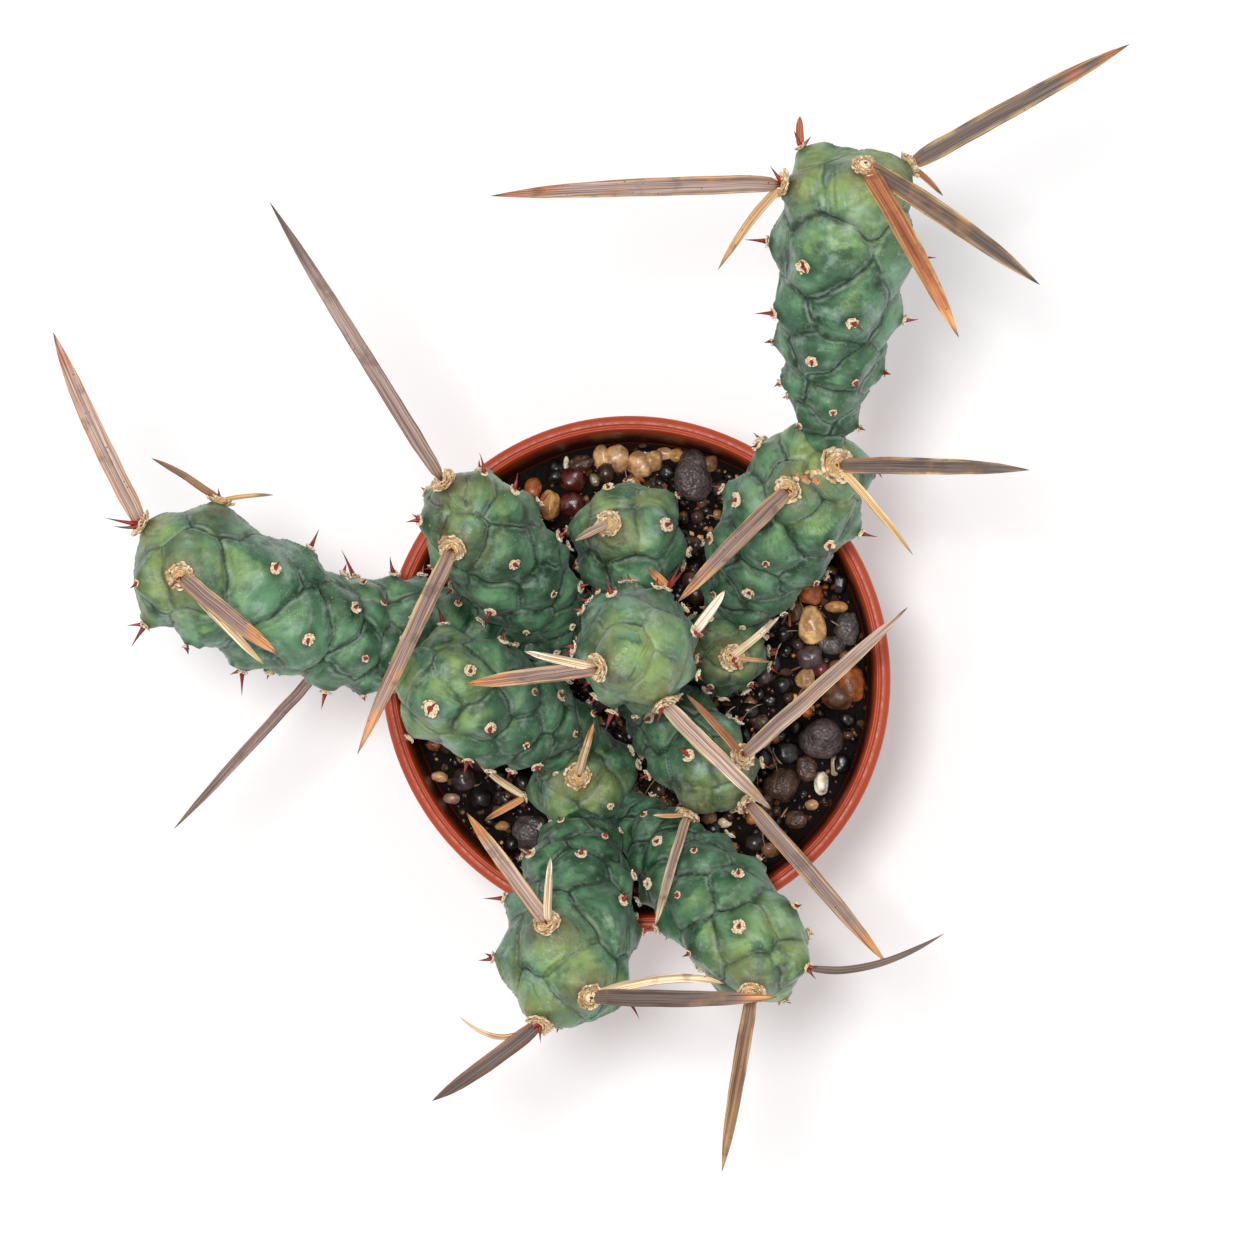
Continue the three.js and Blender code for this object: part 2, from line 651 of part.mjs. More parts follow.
// A segment seats on its carrier with a hollow base, gives way to earlier segments that press on it,
// and its spines are one with it
function stemGeometry(stem, stems) {
  let body = solid(skin(stem, 0));
  for (const other of stems.slice(0, stems.indexOf(stem))) {
    const grown = solid(skin(other, seatGap));
    if (grown.intersect(body).volume() > 0) body = largestPiece(body.subtract(grown));
  }
  for (const site of stem.sites) {
    for (const one of site.spines ?? []) body = body.add(solid(spine(stem, site, one)));
  }
  return geometryOf(body);
}

// Pot: a tapered wall under a straight collar, with a broad rolled lip and a flat underside
function wallRadius(z) {
  return baseRadius + (rimRadius - lipWidth - 2.2 - baseRadius) * (z / (potHeight - collarHeight));
}

function potGeometry() {
  const step = potHeight - collarHeight;
  const collar = rimRadius - 1.6;
  const inside = rimRadius - lipWidth;
  const profile = [
    [0, 0], [baseRadius, 0], [wallRadius(step), step], [collar - 0.8, step + 0.8], [collar, potHeight - lipHeight],
    [rimRadius, potHeight - lipHeight + 0.8], [rimRadius, potHeight - 0.9], [rimRadius - 1, potHeight],
    [inside + 0.8, potHeight], [inside, potHeight - 0.9], [collarInside, step + 1.4],
    [wallRadius(step) - wallThickness, step - 0.6], [wallRadius(floorThickness) - wallThickness, floorThickness],
    [0, floorThickness],
  ].map(([radius, z]) => new THREE.Vector2(radius, z));
  const shell = new THREE.LatheGeometry(profile, potSides).rotateX(Math.PI / 2);
  let pot = solid(shell);
  for (let i = 0; i < drainHoles; i += 1) {
    const turn = (i / drainHoles) * Math.PI * 2;
    const hole = new THREE.CylinderGeometry(drainRadius, drainRadius, floorThickness * 4, 12);
    hole.rotateX(Math.PI / 2);
    hole.translate(Math.cos(turn) * drainCircle, Math.sin(turn) * drainCircle, 0);
    pot = pot.subtract(solid(hole));
  }
  return pressed(geometryOf(pot));
}

// Presses the pot and its fill out of round, more towards the rim
function pressed(geometry) {
  const spots = geometry.attributes.position;
  for (let i = 0; i < spots.count; i += 1) {
    const x = spots.getX(i);
    const y = spots.getY(i);
    const share = ovalShare * THREE.MathUtils.smoothstep(spots.getZ(i), potHeight * 0.3, potHeight);
    const turn = Math.atan2(y, x) - ovalTurn;
    const radius = Math.hypot(x, y) * (1 + share * Math.cos(2 * turn));
    spots.setXY(i, radius * Math.cos(turn + ovalTurn), radius * Math.sin(turn + ovalTurn));
  }
  return geometry;
}

// Soil: fills the pot to a little below the lip, uneven on top, with its pebbles seated in it
function soilHeight(x, y) {
  return soilTop + 0.7 * Math.sin(x * 0.21 + 1.3) * Math.cos(y * 0.17) + 0.4 * Math.sin(x * 0.45 + y * 0.38);
}

function pebble({ x, y, width, height, seed }) {
  const draw = draws(seed);
  const stone = mergeVertices(new THREE.IcosahedronGeometry(0.5, 0).deleteAttribute('normal')
    .deleteAttribute('uv'));
  const spots = stone.attributes.position;
  for (let i = 0; i < spots.count; i += 1) {
    const grow = 0.94 + 0.2 * draw();
    spots.setXYZ(i, spots.getX(i) * grow, spots.getY(i) * grow, spots.getZ(i) * grow);
  }
  stone.rotateX(draw() * 3).rotateZ(draw() * 3);
  stone.scale(width, width * (0.78 + 0.2 * draw()), height);
  return stone.rotateZ(draw() * 6).translate(x, y, soilHeight(x, y) + height * 0.16);
}

function soilGeometry(stems) {
  const step = potHeight - collarHeight;
  const edge = (z) => wallRadius(z) - wallThickness - gap;
  const bottom = floorThickness + gap;
  const top = collarInside - gap;
  const rings = [0, 0.22, 0.45, 0.66, 0.85].map((share) => share * top);
  const profile = [
    [0, bottom], [edge(bottom) - 0.4, bottom], [edge(step - 1) - 0.3, step - 1], [top, step + 2.2], [top, soilTop],
    ...rings.reverse().map((radius) => [radius, soilTop]),
  ].map(([radius, z]) => new THREE.Vector2(radius, z));
  const fill = new THREE.LatheGeometry(profile, potSides).rotateX(Math.PI / 2);
  const spots = fill.attributes.position;
  for (let i = 0; i < spots.count; i += 1) {
    if (spots.getZ(i) > soilTop - 0.01) spots.setZ(i, soilHeight(spots.getX(i), spots.getY(i)));
  }
  let soil = solid(fill);
  for (const [i, seen] of pebbles.entries()) {
    const at = place(seen.px, seen.py, soilTop);
    const width = seen.width * (eye.z - soilTop) / view.focal;
    const reach = Math.hypot(at.x, at.y);
    at.multiplyScalar(Math.min(1, (top - 0.62 * width) / reach));
    const stone = pebble({ x: at.x, y: at.y, width, height: width * 0.72, seed: 31 + i * 7 });
    soil = soil.add(solid(stone));
  }
  for (const stem of stems.filter((one) => !one.carrier)) soil = soil.subtract(solid(holeFor(stem)));
  return pressed(geometryOf(largestPiece(soil)));
}

// A plain upright hole that clears the buried part of a segment
function holeFor(stem) {
  const spots = skin(stem, 0).attributes.position;
  const middle = stem.start.clone().addScaledVector(stem.along, (soilTop - stem.start.z) * 0.6);
  let reach = 0;
  for (let i = 0; i < spots.count; i += 1) {
    const away = Math.hypot(spots.getX(i) - middle.x, spots.getY(i) - middle.y);
    if (spots.getZ(i) < soilTop + 8) reach = Math.max(reach, away);
  }
  const depth = 40;
  const bottom = stem.start.z - 2;
  const hole = new THREE.CylinderGeometry(reach + seatGap, reach + seatGap, depth, 18).rotateX(Math.PI / 2);
  return hole.translate(middle.x, middle.y, bottom + depth / 2);
}

function stemMaterial() {
  return new THREE.MeshStandardMaterial({ color: 0x3f7355, roughness: 0.55, metalness: 0 });
}

function potMaterial() {
  return new THREE.MeshStandardMaterial({ color: 0xb24a2c, roughness: 0.42, metalness: 0 });
}

function soilMaterial() {
  return new THREE.MeshStandardMaterial({ color: 0x3a2a22, roughness: 0.95, metalness: 0 });
}

function named(name, geometry, material) {
  const mesh = new THREE.Mesh(geometry, material);
  mesh.name = name;
  return mesh;
}

function build() {
  const object = new THREE.Group();
  const stems = segments.map(measure);
  stems.forEach((stem) => { stem.sites = areolesOf(stem); });
  markCrowded(stems);
  object.add(named('pot', potGeometry(), potMaterial()));
  object.add(named('soil', soilGeometry(stems), soilMaterial()));
  stems.forEach((stem) => object.add(named(stem.name, stemGeometry(stem, stems), stemMaterial())));
  return object;
}

export default build();
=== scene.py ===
import math

import bmesh
import bpy
import numpy as np
from mathutils import Matrix, Vector


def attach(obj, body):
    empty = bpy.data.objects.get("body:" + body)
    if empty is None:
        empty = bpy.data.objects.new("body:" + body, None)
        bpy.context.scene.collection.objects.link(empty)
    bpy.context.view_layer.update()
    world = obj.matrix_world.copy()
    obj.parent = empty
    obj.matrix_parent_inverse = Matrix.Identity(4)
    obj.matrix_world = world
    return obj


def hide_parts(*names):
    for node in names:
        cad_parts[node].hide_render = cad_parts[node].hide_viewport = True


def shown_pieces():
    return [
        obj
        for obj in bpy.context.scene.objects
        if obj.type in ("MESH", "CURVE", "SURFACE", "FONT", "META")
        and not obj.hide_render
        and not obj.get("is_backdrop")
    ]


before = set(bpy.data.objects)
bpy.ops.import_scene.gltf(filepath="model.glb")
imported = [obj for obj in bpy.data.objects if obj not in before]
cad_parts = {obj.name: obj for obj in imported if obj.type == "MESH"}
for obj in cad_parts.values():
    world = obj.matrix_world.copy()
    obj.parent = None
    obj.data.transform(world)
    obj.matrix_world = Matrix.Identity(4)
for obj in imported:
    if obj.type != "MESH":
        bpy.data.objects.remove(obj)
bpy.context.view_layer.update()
print("frame loaded:", len(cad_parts), "nodes")

# Lengths are worked out in millimetres and turned into metres as each mesh is finished.
toMetres = 0.001

# the picture's view of the plant, nearly straight down

photo = {
    "side": 1254,  # pixels
    "middle": 627,
    "focal": 3854,
    "distance": 900,  # from the middle of the rim
    "elevation": 85.5,
    "azimuth": -45,
    "rimMiddle": (634.7, 672.5),
    "sensor": 36,
}

pot = {
    "height": 100, "rimRadius": 60, "lipWidth": 3.8, "lipHeight": 3.2, "collarHeight": 14,
    "baseRadius": 42, "wall": 1.5, "floor": 2, "steps": 168,
    "holes": 6, "holeRadius": 4, "holeCircle": 29,
    "collarInside": 55,
    "ovalShare": 0.0137, "ovalTurn": math.radians(121.5),
}

soil = {"top": 88.5, "gap": 0.32, "around": 200, "rings": 130}


def unit(vector):
    return vector / np.linalg.norm(vector)


def lookFrom():
    lift, turn = math.radians(photo["elevation"]), math.radians(photo["azimuth"])
    forward = -unit(np.array([math.cos(turn), math.sin(turn), math.tan(lift)]))
    right = unit(np.cross(forward, (0, 1, 0)))
    return forward, right, np.cross(right, forward)


lookForward, lookRight, lookUp = lookFrom()


def ray(px, py):
    across, down = px - photo["middle"], photo["middle"] - py
    return lookForward + lookRight * across / photo["focal"] + lookUp * down / photo["focal"]


eye = np.array([0, 0, pot["height"]]) - photo["distance"] * ray(*photo["rimMiddle"])


# where a point shows in the picture
def shownAt(point):
    away = point - eye
    depth = away @ lookForward
    return np.array([photo["middle"] + photo["focal"] * (away @ lookRight) / depth,
                     photo["middle"] - photo["focal"] * (away @ lookUp) / depth])


# the point at height z that shows at a place in the picture
def place(px, py, z):
    along = ray(px, py)
    return eye + along * ((z - eye[2]) / along[2])


def makeCamera():
    data = bpy.data.cameras.new("camera")
    data.sensor_width = photo["sensor"]
    data.lens = photo["sensor"] * photo["focal"] / photo["side"]
    data.clip_start, data.clip_end = 0.05, 20
    camera = bpy.data.objects.new("camera", data)
    bpy.context.scene.collection.objects.link(camera)
    turn = Matrix((lookRight, lookUp, -lookForward)).transposed()
    camera.matrix_world = Matrix.Translation(Vector(eye * toMetres)) @ turn.to_4x4()
    bpy.context.scene.camera = camera


makeCamera()

# shader helpers


def newFinish(name, roughness):
    material = bpy.data.materials.new(name)
    material.use_nodes = True
    surface = material.node_tree.nodes["Principled BSDF"]
    surface.inputs["Roughness"].default_value = roughness
    return material, material.node_tree, surface


# adds a node; an input is given a value, or a socket that it's joined to
def newNode(tree, kind, inputs=None, **settings):
    made = tree.nodes.new("ShaderNode" + kind)
    for key, value in settings.items():
        setattr(made, key, value)
    for key, value in (inputs or {}).items():
        if isinstance(value, bpy.types.NodeSocket):
            tree.links.new(value, made.inputs[key])
        else:
            made.inputs[key].default_value = value
    return made


def objectPlace(tree):
    return newNode(tree, "TexCoord").outputs["Object"]


def storedValue(tree, name):
    return newNode(tree, "Attribute", attribute_name=name).outputs["Fac"]


def storedColour(tree, name):
    return newNode(tree, "Attribute", attribute_name=name).outputs["Color"]


def noise(tree, where, size, detail=3, rough=0.55, distortion=0.0):
    inputs = {"Vector": where, "Scale": 1000 / size, "Detail": detail, "Roughness": rough,
              "Distortion": distortion}
    return newNode(tree, "TexNoise", inputs).outputs["Fac"]


def spread(tree, value, low, high, toLow=0.0, toHigh=1.0):
    inputs = {"Value": value, "From Min": low, "From Max": high, "To Min": toLow, "To Max": toHigh}
    return newNode(tree, "MapRange", inputs, interpolation_type="SMOOTHSTEP").outputs["Result"]


def maths(tree, operation, first, second):
    return newNode(tree, "Math", {0: first, 1: second}, operation=operation).outputs[0]


def times(tree, first, second):
    return maths(tree, "MULTIPLY", first, second)


def blendColours(tree, share, first, second, way="MIX"):
    inputs = {0: share, 6: first, 7: second}
    return newNode(tree, "Mix", inputs, data_type="RGBA", blend_type=way).outputs[2]


def bumpFrom(tree, surface, height, millimetres, strength=1.0):
    inputs = {"Height": height, "Distance": millimetres * toMetres, "Strength": strength}
    bump = newNode(tree, "Bump", inputs)
    tree.links.new(bump.outputs["Normal"], surface.inputs["Normal"])


def useColour(tree, surface, paint):
    tree.links.new(paint, surface.inputs["Base Color"])


def colour(red, green, blue):
    return (red, green, blue, 1.0)


# mesh helpers


# smooth seeded waves, between about -1 and 1
def ripple(points, size, seed):
    draw = np.random.default_rng(seed)
    total = np.zeros(len(points))
    for _ in range(6):
        way = unit(draw.normal(size=3)) * draw.uniform(0.7, 1.5)
        total += np.sin(points @ way * (2 * math.pi / size) + draw.uniform(0, 2 * math.pi))
    return total / 3.2


def smoothShare(values, low, high):
    share = np.clip((values - low) / (high - low), 0, 1)
    return share * share * (3 - 2 * share)


def pointsOf(mesh):
    points = np.zeros(len(mesh.vertices) * 3)
    mesh.vertices.foreach_get("co", points)
    return points.reshape(-1, 3)


def setPoints(mesh, points):
    mesh.vertices.foreach_set("co", np.asarray(points, np.float32).ravel())
    mesh.update()


def storeValues(mesh, name, values):
    attribute = mesh.attributes.get(name) or mesh.attributes.new(name, "FLOAT", "POINT")
    attribute.data.foreach_set("value", np.asarray(values, np.float32).ravel())


def storeColours(mesh, name, colours):
    attribute = mesh.attributes.get(name) or mesh.attributes.new(name, "FLOAT_COLOR", "POINT")
    full = np.ones((len(mesh.vertices), 4), np.float32)
    full[:, :3] = colours
    attribute.data.foreach_set("color", full.ravel())


# a mesh made by one bmesh operator, used as it is or copied many times
def shapeMesh(name, make, smooth=True):
    shape = bmesh.new()
    make(shape)
    for face in shape.faces:
        face.smooth = smooth
    mesh = bpy.data.meshes.new(name)
    shape.to_mesh(mesh)
    shape.free()
    return mesh


def ballMesh(name, around, rings):
    return shapeMesh(name, lambda shape: bmesh.ops.create_uvsphere(
        shape, u_segments=around, v_segments=rings, radius=1))


def stoneMesh(name, subdivisions):
    return shapeMesh(name, lambda shape: bmesh.ops.create_icosphere(
        shape, subdivisions=subdivisions, radius=1))


# turn about the axis, and share of the way from the top pole to the bottom one
def ballTurns(points):
    return np.arctan2(points[:, 1], points[:, 0]), np.arccos(np.clip(points[:, 2], -1, 1)) / math.pi


def addObject(name, mesh, materials, nodes=()):
    mesh.transform(Matrix.Scale(toMetres, 4))
    mesh.update()
    for one in materials:
        mesh.materials.append(one)
    made = bpy.data.objects.new(name, mesh)
    bpy.context.scene.collection.objects.link(made)
    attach(made, "root")
    if nodes:
        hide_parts(*nodes)
    return made


# many small shapes joined to one mesh, each a changed copy of a mesh made by an operator
class Cluster:
    def __init__(self):
        self.shape = bmesh.new()

    def add(self, template, points, tint, material=0, **values):
        copy = template.copy()
        copy.vertices.foreach_set("co", np.asarray(points, np.float32).ravel())
        storeColours(copy, "tint", tint)
        for name in ("across", "along"):
            storeValues(copy, name, np.broadcast_to(values.get(name, 0.0), len(points)))
        copy.polygons.foreach_set("material_index", np.full(len(copy.polygons), material, np.int32))
        self.shape.from_mesh(copy)
        bpy.data.meshes.remove(copy)

    def finish(self, name, materials):
        mesh = bpy.data.meshes.new(name)
        self.shape.to_mesh(mesh)
        self.shape.free()
        return addObject(name, mesh, materials)


# the stem segments

surfaceForm = {
    "peak": 2.1,  # how far a swelling stands out at its areole
    "crease": 1.5,
    "closest": 6.8,
    "widest": 15.5,
    "goldenAngle": math.radians(137.508),
    "neckShare": 0.45,  # beyond this, a side that faces the picture has only the areoles seen there
    "facing": 0.35,
}

reliefForm = {
    "droop": 0.10,  # swellings hang towards the neck by this share of their spacing
    "lap": 0.17,  # and end there in a rounded edge
    "point": 0.85,
    "rim": 0.22,
    "groove": 0.32,
    "pleat": 3.9,
    "pleatDepth": 0.5,
}

# Each segment runs from its narrow base to its tip, both given as px, py in the picture and a height.
# A blade goes to px, py; rise is how far its tip ends above its root, and via is where a curved one passes.
# Thorns are listed by the places of their tips.
segments = {
    "root": {
        "radius": 11, "belly": 0.55, "neck": 0.7, "blunt": 2.4, "base": (622, 640, 70),
        "tip": (624, 636, 112),
        "sparse": 1.4, "bare": True, "rings": 76, "areoles": [],
    },
    "centre": {
        "radius": 12.7, "belly": 0.66, "neck": 0.5, "blunt": 2.2, "base": (632, 628, 104),
        "tip": (638, 660, 176),
        "rings": 128, "tufts": [(600, 566), (608, 561), (618, 557), (627, 555), (636, 557), (592, 575),
                                (560, 606)],
        "areoles": [
            {"at": (599, 667), "size": "large", "blades": [
                {"to": (465, 684), "rise": 16, "width": 3.7, "tones": ("mauve", "orange")},
                {"to": (523, 651), "rise": 12, "width": 2, "tones": ("cream", "white"),
                 "edge": "white"}]},
            {"at": (664, 703), "size": "large", "thorns": [(657, 728)], "blades": [
                {"to": (772, 810), "rise": 12, "width": 3.9, "tones": ("palemauve", "mauve"),
                 "edge": "cream"}]},
            {"at": (693, 632), "size": "medium", "thorns": [(708, 628), (706, 640)], "blades": [
                {"to": (725, 590), "rise": 8, "width": 2.3, "tones": ("white", "cream"),
                 "edge": "white"}]},
            {"at": (674, 576), "size": "medium", "thorns": [(689, 565), (682, 561)], "blades": [
                {"to": (647, 568), "rise": 3, "width": 2, "tones": ("orange", "brown")}]},
            {"at": (612, 595), "size": "medium", "thorns": [(606, 577)]},
            {"at": (607, 725), "size": "medium", "thorns": [(604, 736)]},
            {"at": (635, 727), "size": "small"},
            {"at": (584, 572), "size": "small"},
            {"at": (617, 558), "size": "small"},
        ],
    },
    "upper_left": {
        "radius": 12.4, "belly": 0.62, "neck": 0.42, "blunt": 2.7, "base": (572, 641, 101),
        "tip": (449, 491, 146),
        "rings": 128,
        "areoles": [
            {"at": (444, 482), "size": "large", "blades": [
                {"to": (269, 201), "rise": 14, "width": 3.6, "tones": ("mauve", "charcoal"),
                 "edge": "brown"}]},
            {"at": (453, 547), "size": "large", "blades": [
                {"to": (357, 755), "rise": 30, "width": 3.9, "tones": ("mauve", "orange")}]},
            {"at": (514, 564), "size": "medium"},
            {"at": (514, 491), "size": "medium", "thorns": [(519, 472)]},
            {"at": (484, 474), "size": "small", "thorns": [(480, 452)]},
            {"at": (420, 520), "size": "medium", "thorns": [(405, 523), (411, 514)]},
            {"at": (434, 567), "size": "small", "thorns": [(424, 571)]},
            {"at": (540, 501), "size": "medium", "thorns": [(551, 492)]},
            {"at": (558, 536), "size": "medium", "thorns": [(570, 531)]},
            {"at": (491, 611), "size": "medium", "thorns": [(486, 627)]},
            {"at": (553, 594), "size": "small"},
            {"at": (526, 632), "size": "small"},
        ],
    },
    "bottom_inner": {
        "radius": 12.4, "belly": 0.6, "neck": 0.62, "blunt": 2.3, "base": (590, 773, 74),
        "tip": (581, 786, 113),
        "rings": 84,
        "areoles": [
            {"at": (578, 776), "size": "large", "blades": [
                {"to": (594, 722), "rise": 18, "width": 2, "tones": ("cream", "orange")}]},
            {"at": (526, 797), "size": "medium", "blades": [
                {"to": (476, 760), "rise": 5, "width": 1.8, "tones": ("cream", "brown")},
                {"to": (484, 821), "rise": -2, "width": 1.8, "tones": ("orange", "brown")}]},
            {"at": (610, 806), "size": "small"},
            {"at": (552, 822), "size": "small"},
        ],
    },
    "left": {
        "radius": 13.2, "belly": 0.68, "neck": 0.42, "blunt": 2.6, "base": (588, 744, 100),
        "tip": (414, 673, 142),
        "rings": 128,
        "areoles": [
            {"at": (470, 671), "size": "medium"},
            {"at": (431, 708), "size": "medium", "ring": 1.9, "thorns": [(428, 716), (437, 703)]},
            {"at": (490, 727), "size": "medium"},
            {"at": (534, 692), "size": "small"},
            {"at": (526, 745), "size": "small"},
            {"at": (407, 739), "size": "medium", "thorns": [(396, 746), (400, 734)]},
            {"at": (442, 621), "size": "medium", "thorns": [(438, 605)]},
            {"at": (501, 641), "size": "medium"},
            {"at": (467, 760), "size": "medium", "thorns": [(464, 778), (474, 770)]},
        ],
    },
    "far_left_under": {
        "radius": 10.6, "belly": 0.66, "neck": 0.45, "blunt": 2.4, "base": (596, 656, 96),
        "tip": (318, 611, 120.5),
        "rings": 110,
        "areoles": [
            {"at": (341, 568), "size": "medium", "thorns": [(339, 547)]},
            {"at": (394, 574), "size": "medium", "thorns": [(391, 555)]},
            {"at": (363, 583), "size": "small"},
            {"at": (412, 619), "size": "small"},
            {"at": (458, 604), "size": "small", "thorns": [(463, 595)]},
            {"at": (330, 656), "size": "large", "blades": [
                {"to": (173, 830), "rise": -8, "width": 2.7, "tones": ("mauve", "charcoal"),
                 "edge": "mauve"}]},
        ],
    },
    "far_left": {
        "radius": 14.6, "belly": 0.7, "neck": 0.42, "blunt": 2.9, "base": (404, 668, 124),
        "tip": (143, 547, 155),
        "rings": 136,
        "areoles": [
            {"at": (133, 517), "size": "large", "thorns": [(105, 518), (122, 505), (113, 526)],
             "blades": [
                {"to": (53, 332), "rise": 12, "width": 4.4, "tones": ("palemauve", "rust"),
                 "edge": "orange"}]},
            {"at": (220, 500), "size": "large", "thorns": [(219, 487)], "blades": [
                {"to": (151, 458), "rise": 5, "width": 1.7, "tones": ("brown", "charcoal"),
                 "edge": "brown"},
                {"to": (274, 495), "rise": 5, "width": 1.1, "tones": ("tan", "brown")}]},
            {"at": (181, 576), "size": "large", "thorns": [(170, 590)], "blades": [
                {"to": (279, 655), "rise": 26, "width": 4.1, "tones": ("mauve", "orange")},
                {"to": (265, 666), "rise": 20, "width": 2.3, "tones": ("cream", "yellow"),
                 "edge": "white"}]},
            {"at": (275, 569), "size": "medium", "thorns": [(281, 561)]},
            {"at": (308, 639), "size": "medium"},
            {"at": (355, 608), "size": "medium"},
            {"at": (365, 658), "size": "small"},
            {"at": (314, 541), "size": "medium", "thorns": [(321, 528)]},
            {"at": (146, 625), "size": "medium", "thorns": [(127, 627), (132, 649), (138, 640)]},
            {"at": (186, 645), "size": "small", "thorns": [(189, 656)]},
            {"at": (242, 671), "size": "medium", "thorns": [(230, 676), (243, 698)]},
            {"at": (325, 693), "size": "medium", "thorns": [(322, 711)]},
            {"at": (138, 583), "size": "small", "thorns": [(130, 589)]},
        ],
    },
    "top": {
        "radius": 12.6, "belly": 0.62, "neck": 0.45, "blunt": 2.4, "base": (630, 602, 95),
        "tip": (628, 498, 116),
        "rings": 94,
        "areoles": [
            {"at": (609, 524), "size": "large", "blades": [
                {"to": (574, 541), "rise": 5, "width": 2.1, "tones": ("palemauve", "mauve")}]},
            {"at": (666, 525), "size": "medium", "ring": 1.6},
            {"at": (609, 488), "size": "medium"},
            {"at": (568, 529), "size": "small"},
            {"at": (675, 498), "size": "small"},
        ],
    },
    "right": {
        "radius": 9.6, "belly": 0.62, "neck": 0.6, "blunt": 2.3, "base": (718, 650, 74),
        "tip": (727, 652, 116),
        "rings": 76,
        "areoles": [
            {"at": (732, 657), "size": "large", "thorns": [(740, 674)], "blades": [
                {"to": (780, 616), "rise": 9, "width": 1.9, "tones": ("cream", "white"),
                 "edge": "white"},
                {"to": (772, 662), "rise": 4, "width": 1.1, "tones": ("tan", "brown")}]},
            {"at": (711, 620), "size": "small"},
            {"at": (711, 686), "size": "small", "thorns": [(706, 694)]},
            {"at": (750, 684), "size": "small", "thorns": [(757, 691)]},
        ],
    },
    "upper_right": {
        "radius": 14.2, "belly": 0.62, "neck": 0.4, "blunt": 2.7, "base": (726, 618, 102),
        "tip": (833, 441, 141),
        "rings": 136,
        "cork": [(827, 438), (828, 446), (829, 454), (829, 462), (822, 470), (812, 476), (802, 482),
                 (843, 478), (848, 470)],
        "areoles": [
            {"at": (837, 466), "size": "corky", "blades": [
                {"to": (1030, 470), "rise": 10, "width": 3.9, "tones": ("charcoal", "charcoal"),
                 "edge": "tan"},
                {"to": (913, 555), "rise": 0, "width": 1.9, "tones": ("yellow", "yellow"),
                 "edge": "white"}]},
            {"at": (789, 489), "size": "large", "blades": [
                {"to": (677, 603), "rise": 22, "width": 4, "tones": ("mauve", "orange")}]},
            {"at": (797, 424), "size": "medium", "blades": [
                {"to": (735, 437), "rise": 3, "width": 3.2, "tones": ("brown", "cream"),
                 "edge": "brown"}]},
            {"at": (758, 444), "size": "medium", "ring": 1.7, "thorns": [(750, 447)]},
            {"at": (737, 500), "size": "medium", "ring": 1.6, "thorns": [(727, 502)]},
            {"at": (766, 563), "size": "small"},
            {"at": (829, 544), "size": "medium", "thorns": [(831, 554)]},
            {"at": (865, 535), "size": "medium", "thorns": [(879, 538)]},
            {"at": (816, 582), "size": "small", "thorns": [(818, 591)]},
            {"at": (877, 466), "size": "medium", "thorns": [(883, 479)]},
        ],
    },
    "upper_right_outer": {
        "radius": 14.4, "belly": 0.74, "neck": 0.27, "blunt": 3.2, "base": (822, 447, 139),
        "tip": (853, 156, 178),
        "rings": 162,
        "areoles": [
            {"at": (802, 150), "size": "medium", "thorns": [(793, 130), (811, 136)], "blades": [
                {"to": (800, 116), "rise": 2, "width": 1.8, "tones": ("rust", "red"), "edge": "red"}]},
            {"at": (783, 184), "size": "large", "thorns": [(769, 166)], "blades": [
                {"to": (490, 196), "rise": 4, "width": 4.1, "tones": ("mauve", "rust"), "edge": "tan"},
                {"to": (718, 270), "rise": -6, "width": 2, "tones": ("tan", "brown"),
                 "edge": "yellow"}]},
            {"at": (865, 167), "size": "large", "rings": True, "blades": [
                {"to": (959, 338), "rise": 18, "width": 4.3, "tones": ("rust", "orange"),
                 "edge": "yellow"},
                {"to": (1040, 285), "rise": 10, "width": 4.4, "tones": ("charcoal", "charcoal"),
                 "edge": "yellow"}]},
            {"at": (912, 162), "size": "large", "blades": [
                {"to": (1130, 44), "rise": 6, "width": 4.3, "tones": ("charcoal", "rust"),
                 "edge": "yellow"},
                {"to": (943, 196), "rise": -3, "width": 1.4, "tones": ("rust", "charcoal")}]},
            {"at": (804, 267), "size": "medium", "ring": 1.5, "thorns": [(806, 276), (799, 262)]},
            {"at": (852, 323), "size": "medium", "thorns": [(864, 333)]},
            {"at": (812, 361), "size": "medium"},
            {"at": (855, 382), "size": "small"},
            {"at": (833, 412), "size": "small"},
            {"at": (762, 241), "size": "medium", "thorns": [(743, 241)]},
            {"at": (774, 313), "size": "medium", "thorns": [(753, 315)]},
            {"at": (775, 342), "size": "small", "thorns": [(763, 344)]},
            {"at": (920, 259), "size": "medium", "thorns": [(938, 259)]},
            {"at": (905, 320), "size": "medium", "thorns": [(920, 320)]},
            {"at": (883, 373), "size": "small", "thorns": [(892, 376)]},
        ],
    },
    "lower_right_inner": {
        "radius": 10.6, "belly": 0.62, "neck": 0.45, "blunt": 2.4, "base": (632, 678, 98),
        "tip": (737, 798, 120),
        "rings": 94,
        "areoles": [
            {"at": (689, 756), "size": "medium", "thorns": [(675, 745)]},
            {"at": (741, 757), "size": "large", "blades": [
                {"to": (908, 607), "rise": 14, "width": 3.7, "tones": ("mauve", "palemauve"),
                 "edge": "cream"},
                {"to": (685, 693), "rise": 7, "width": 1.9, "tones": ("rust", "rust"), "edge": "tan"}]},
            {"at": (746, 801), "size": "large", "thorns": [(744, 818)], "blades": [
                {"to": (888, 965), "rise": 4, "width": 4, "tones": ("mauve", "orange")}]},
            {"at": (689, 811), "size": "large", "blades": [
                {"to": (655, 927), "rise": 34, "width": 2.4, "tones": ("palemauve", "cream"),
                 "edge": "cream"},
                {"to": (652, 815), "rise": 3, "width": 1.2, "tones": ("tan", "cream")}]},
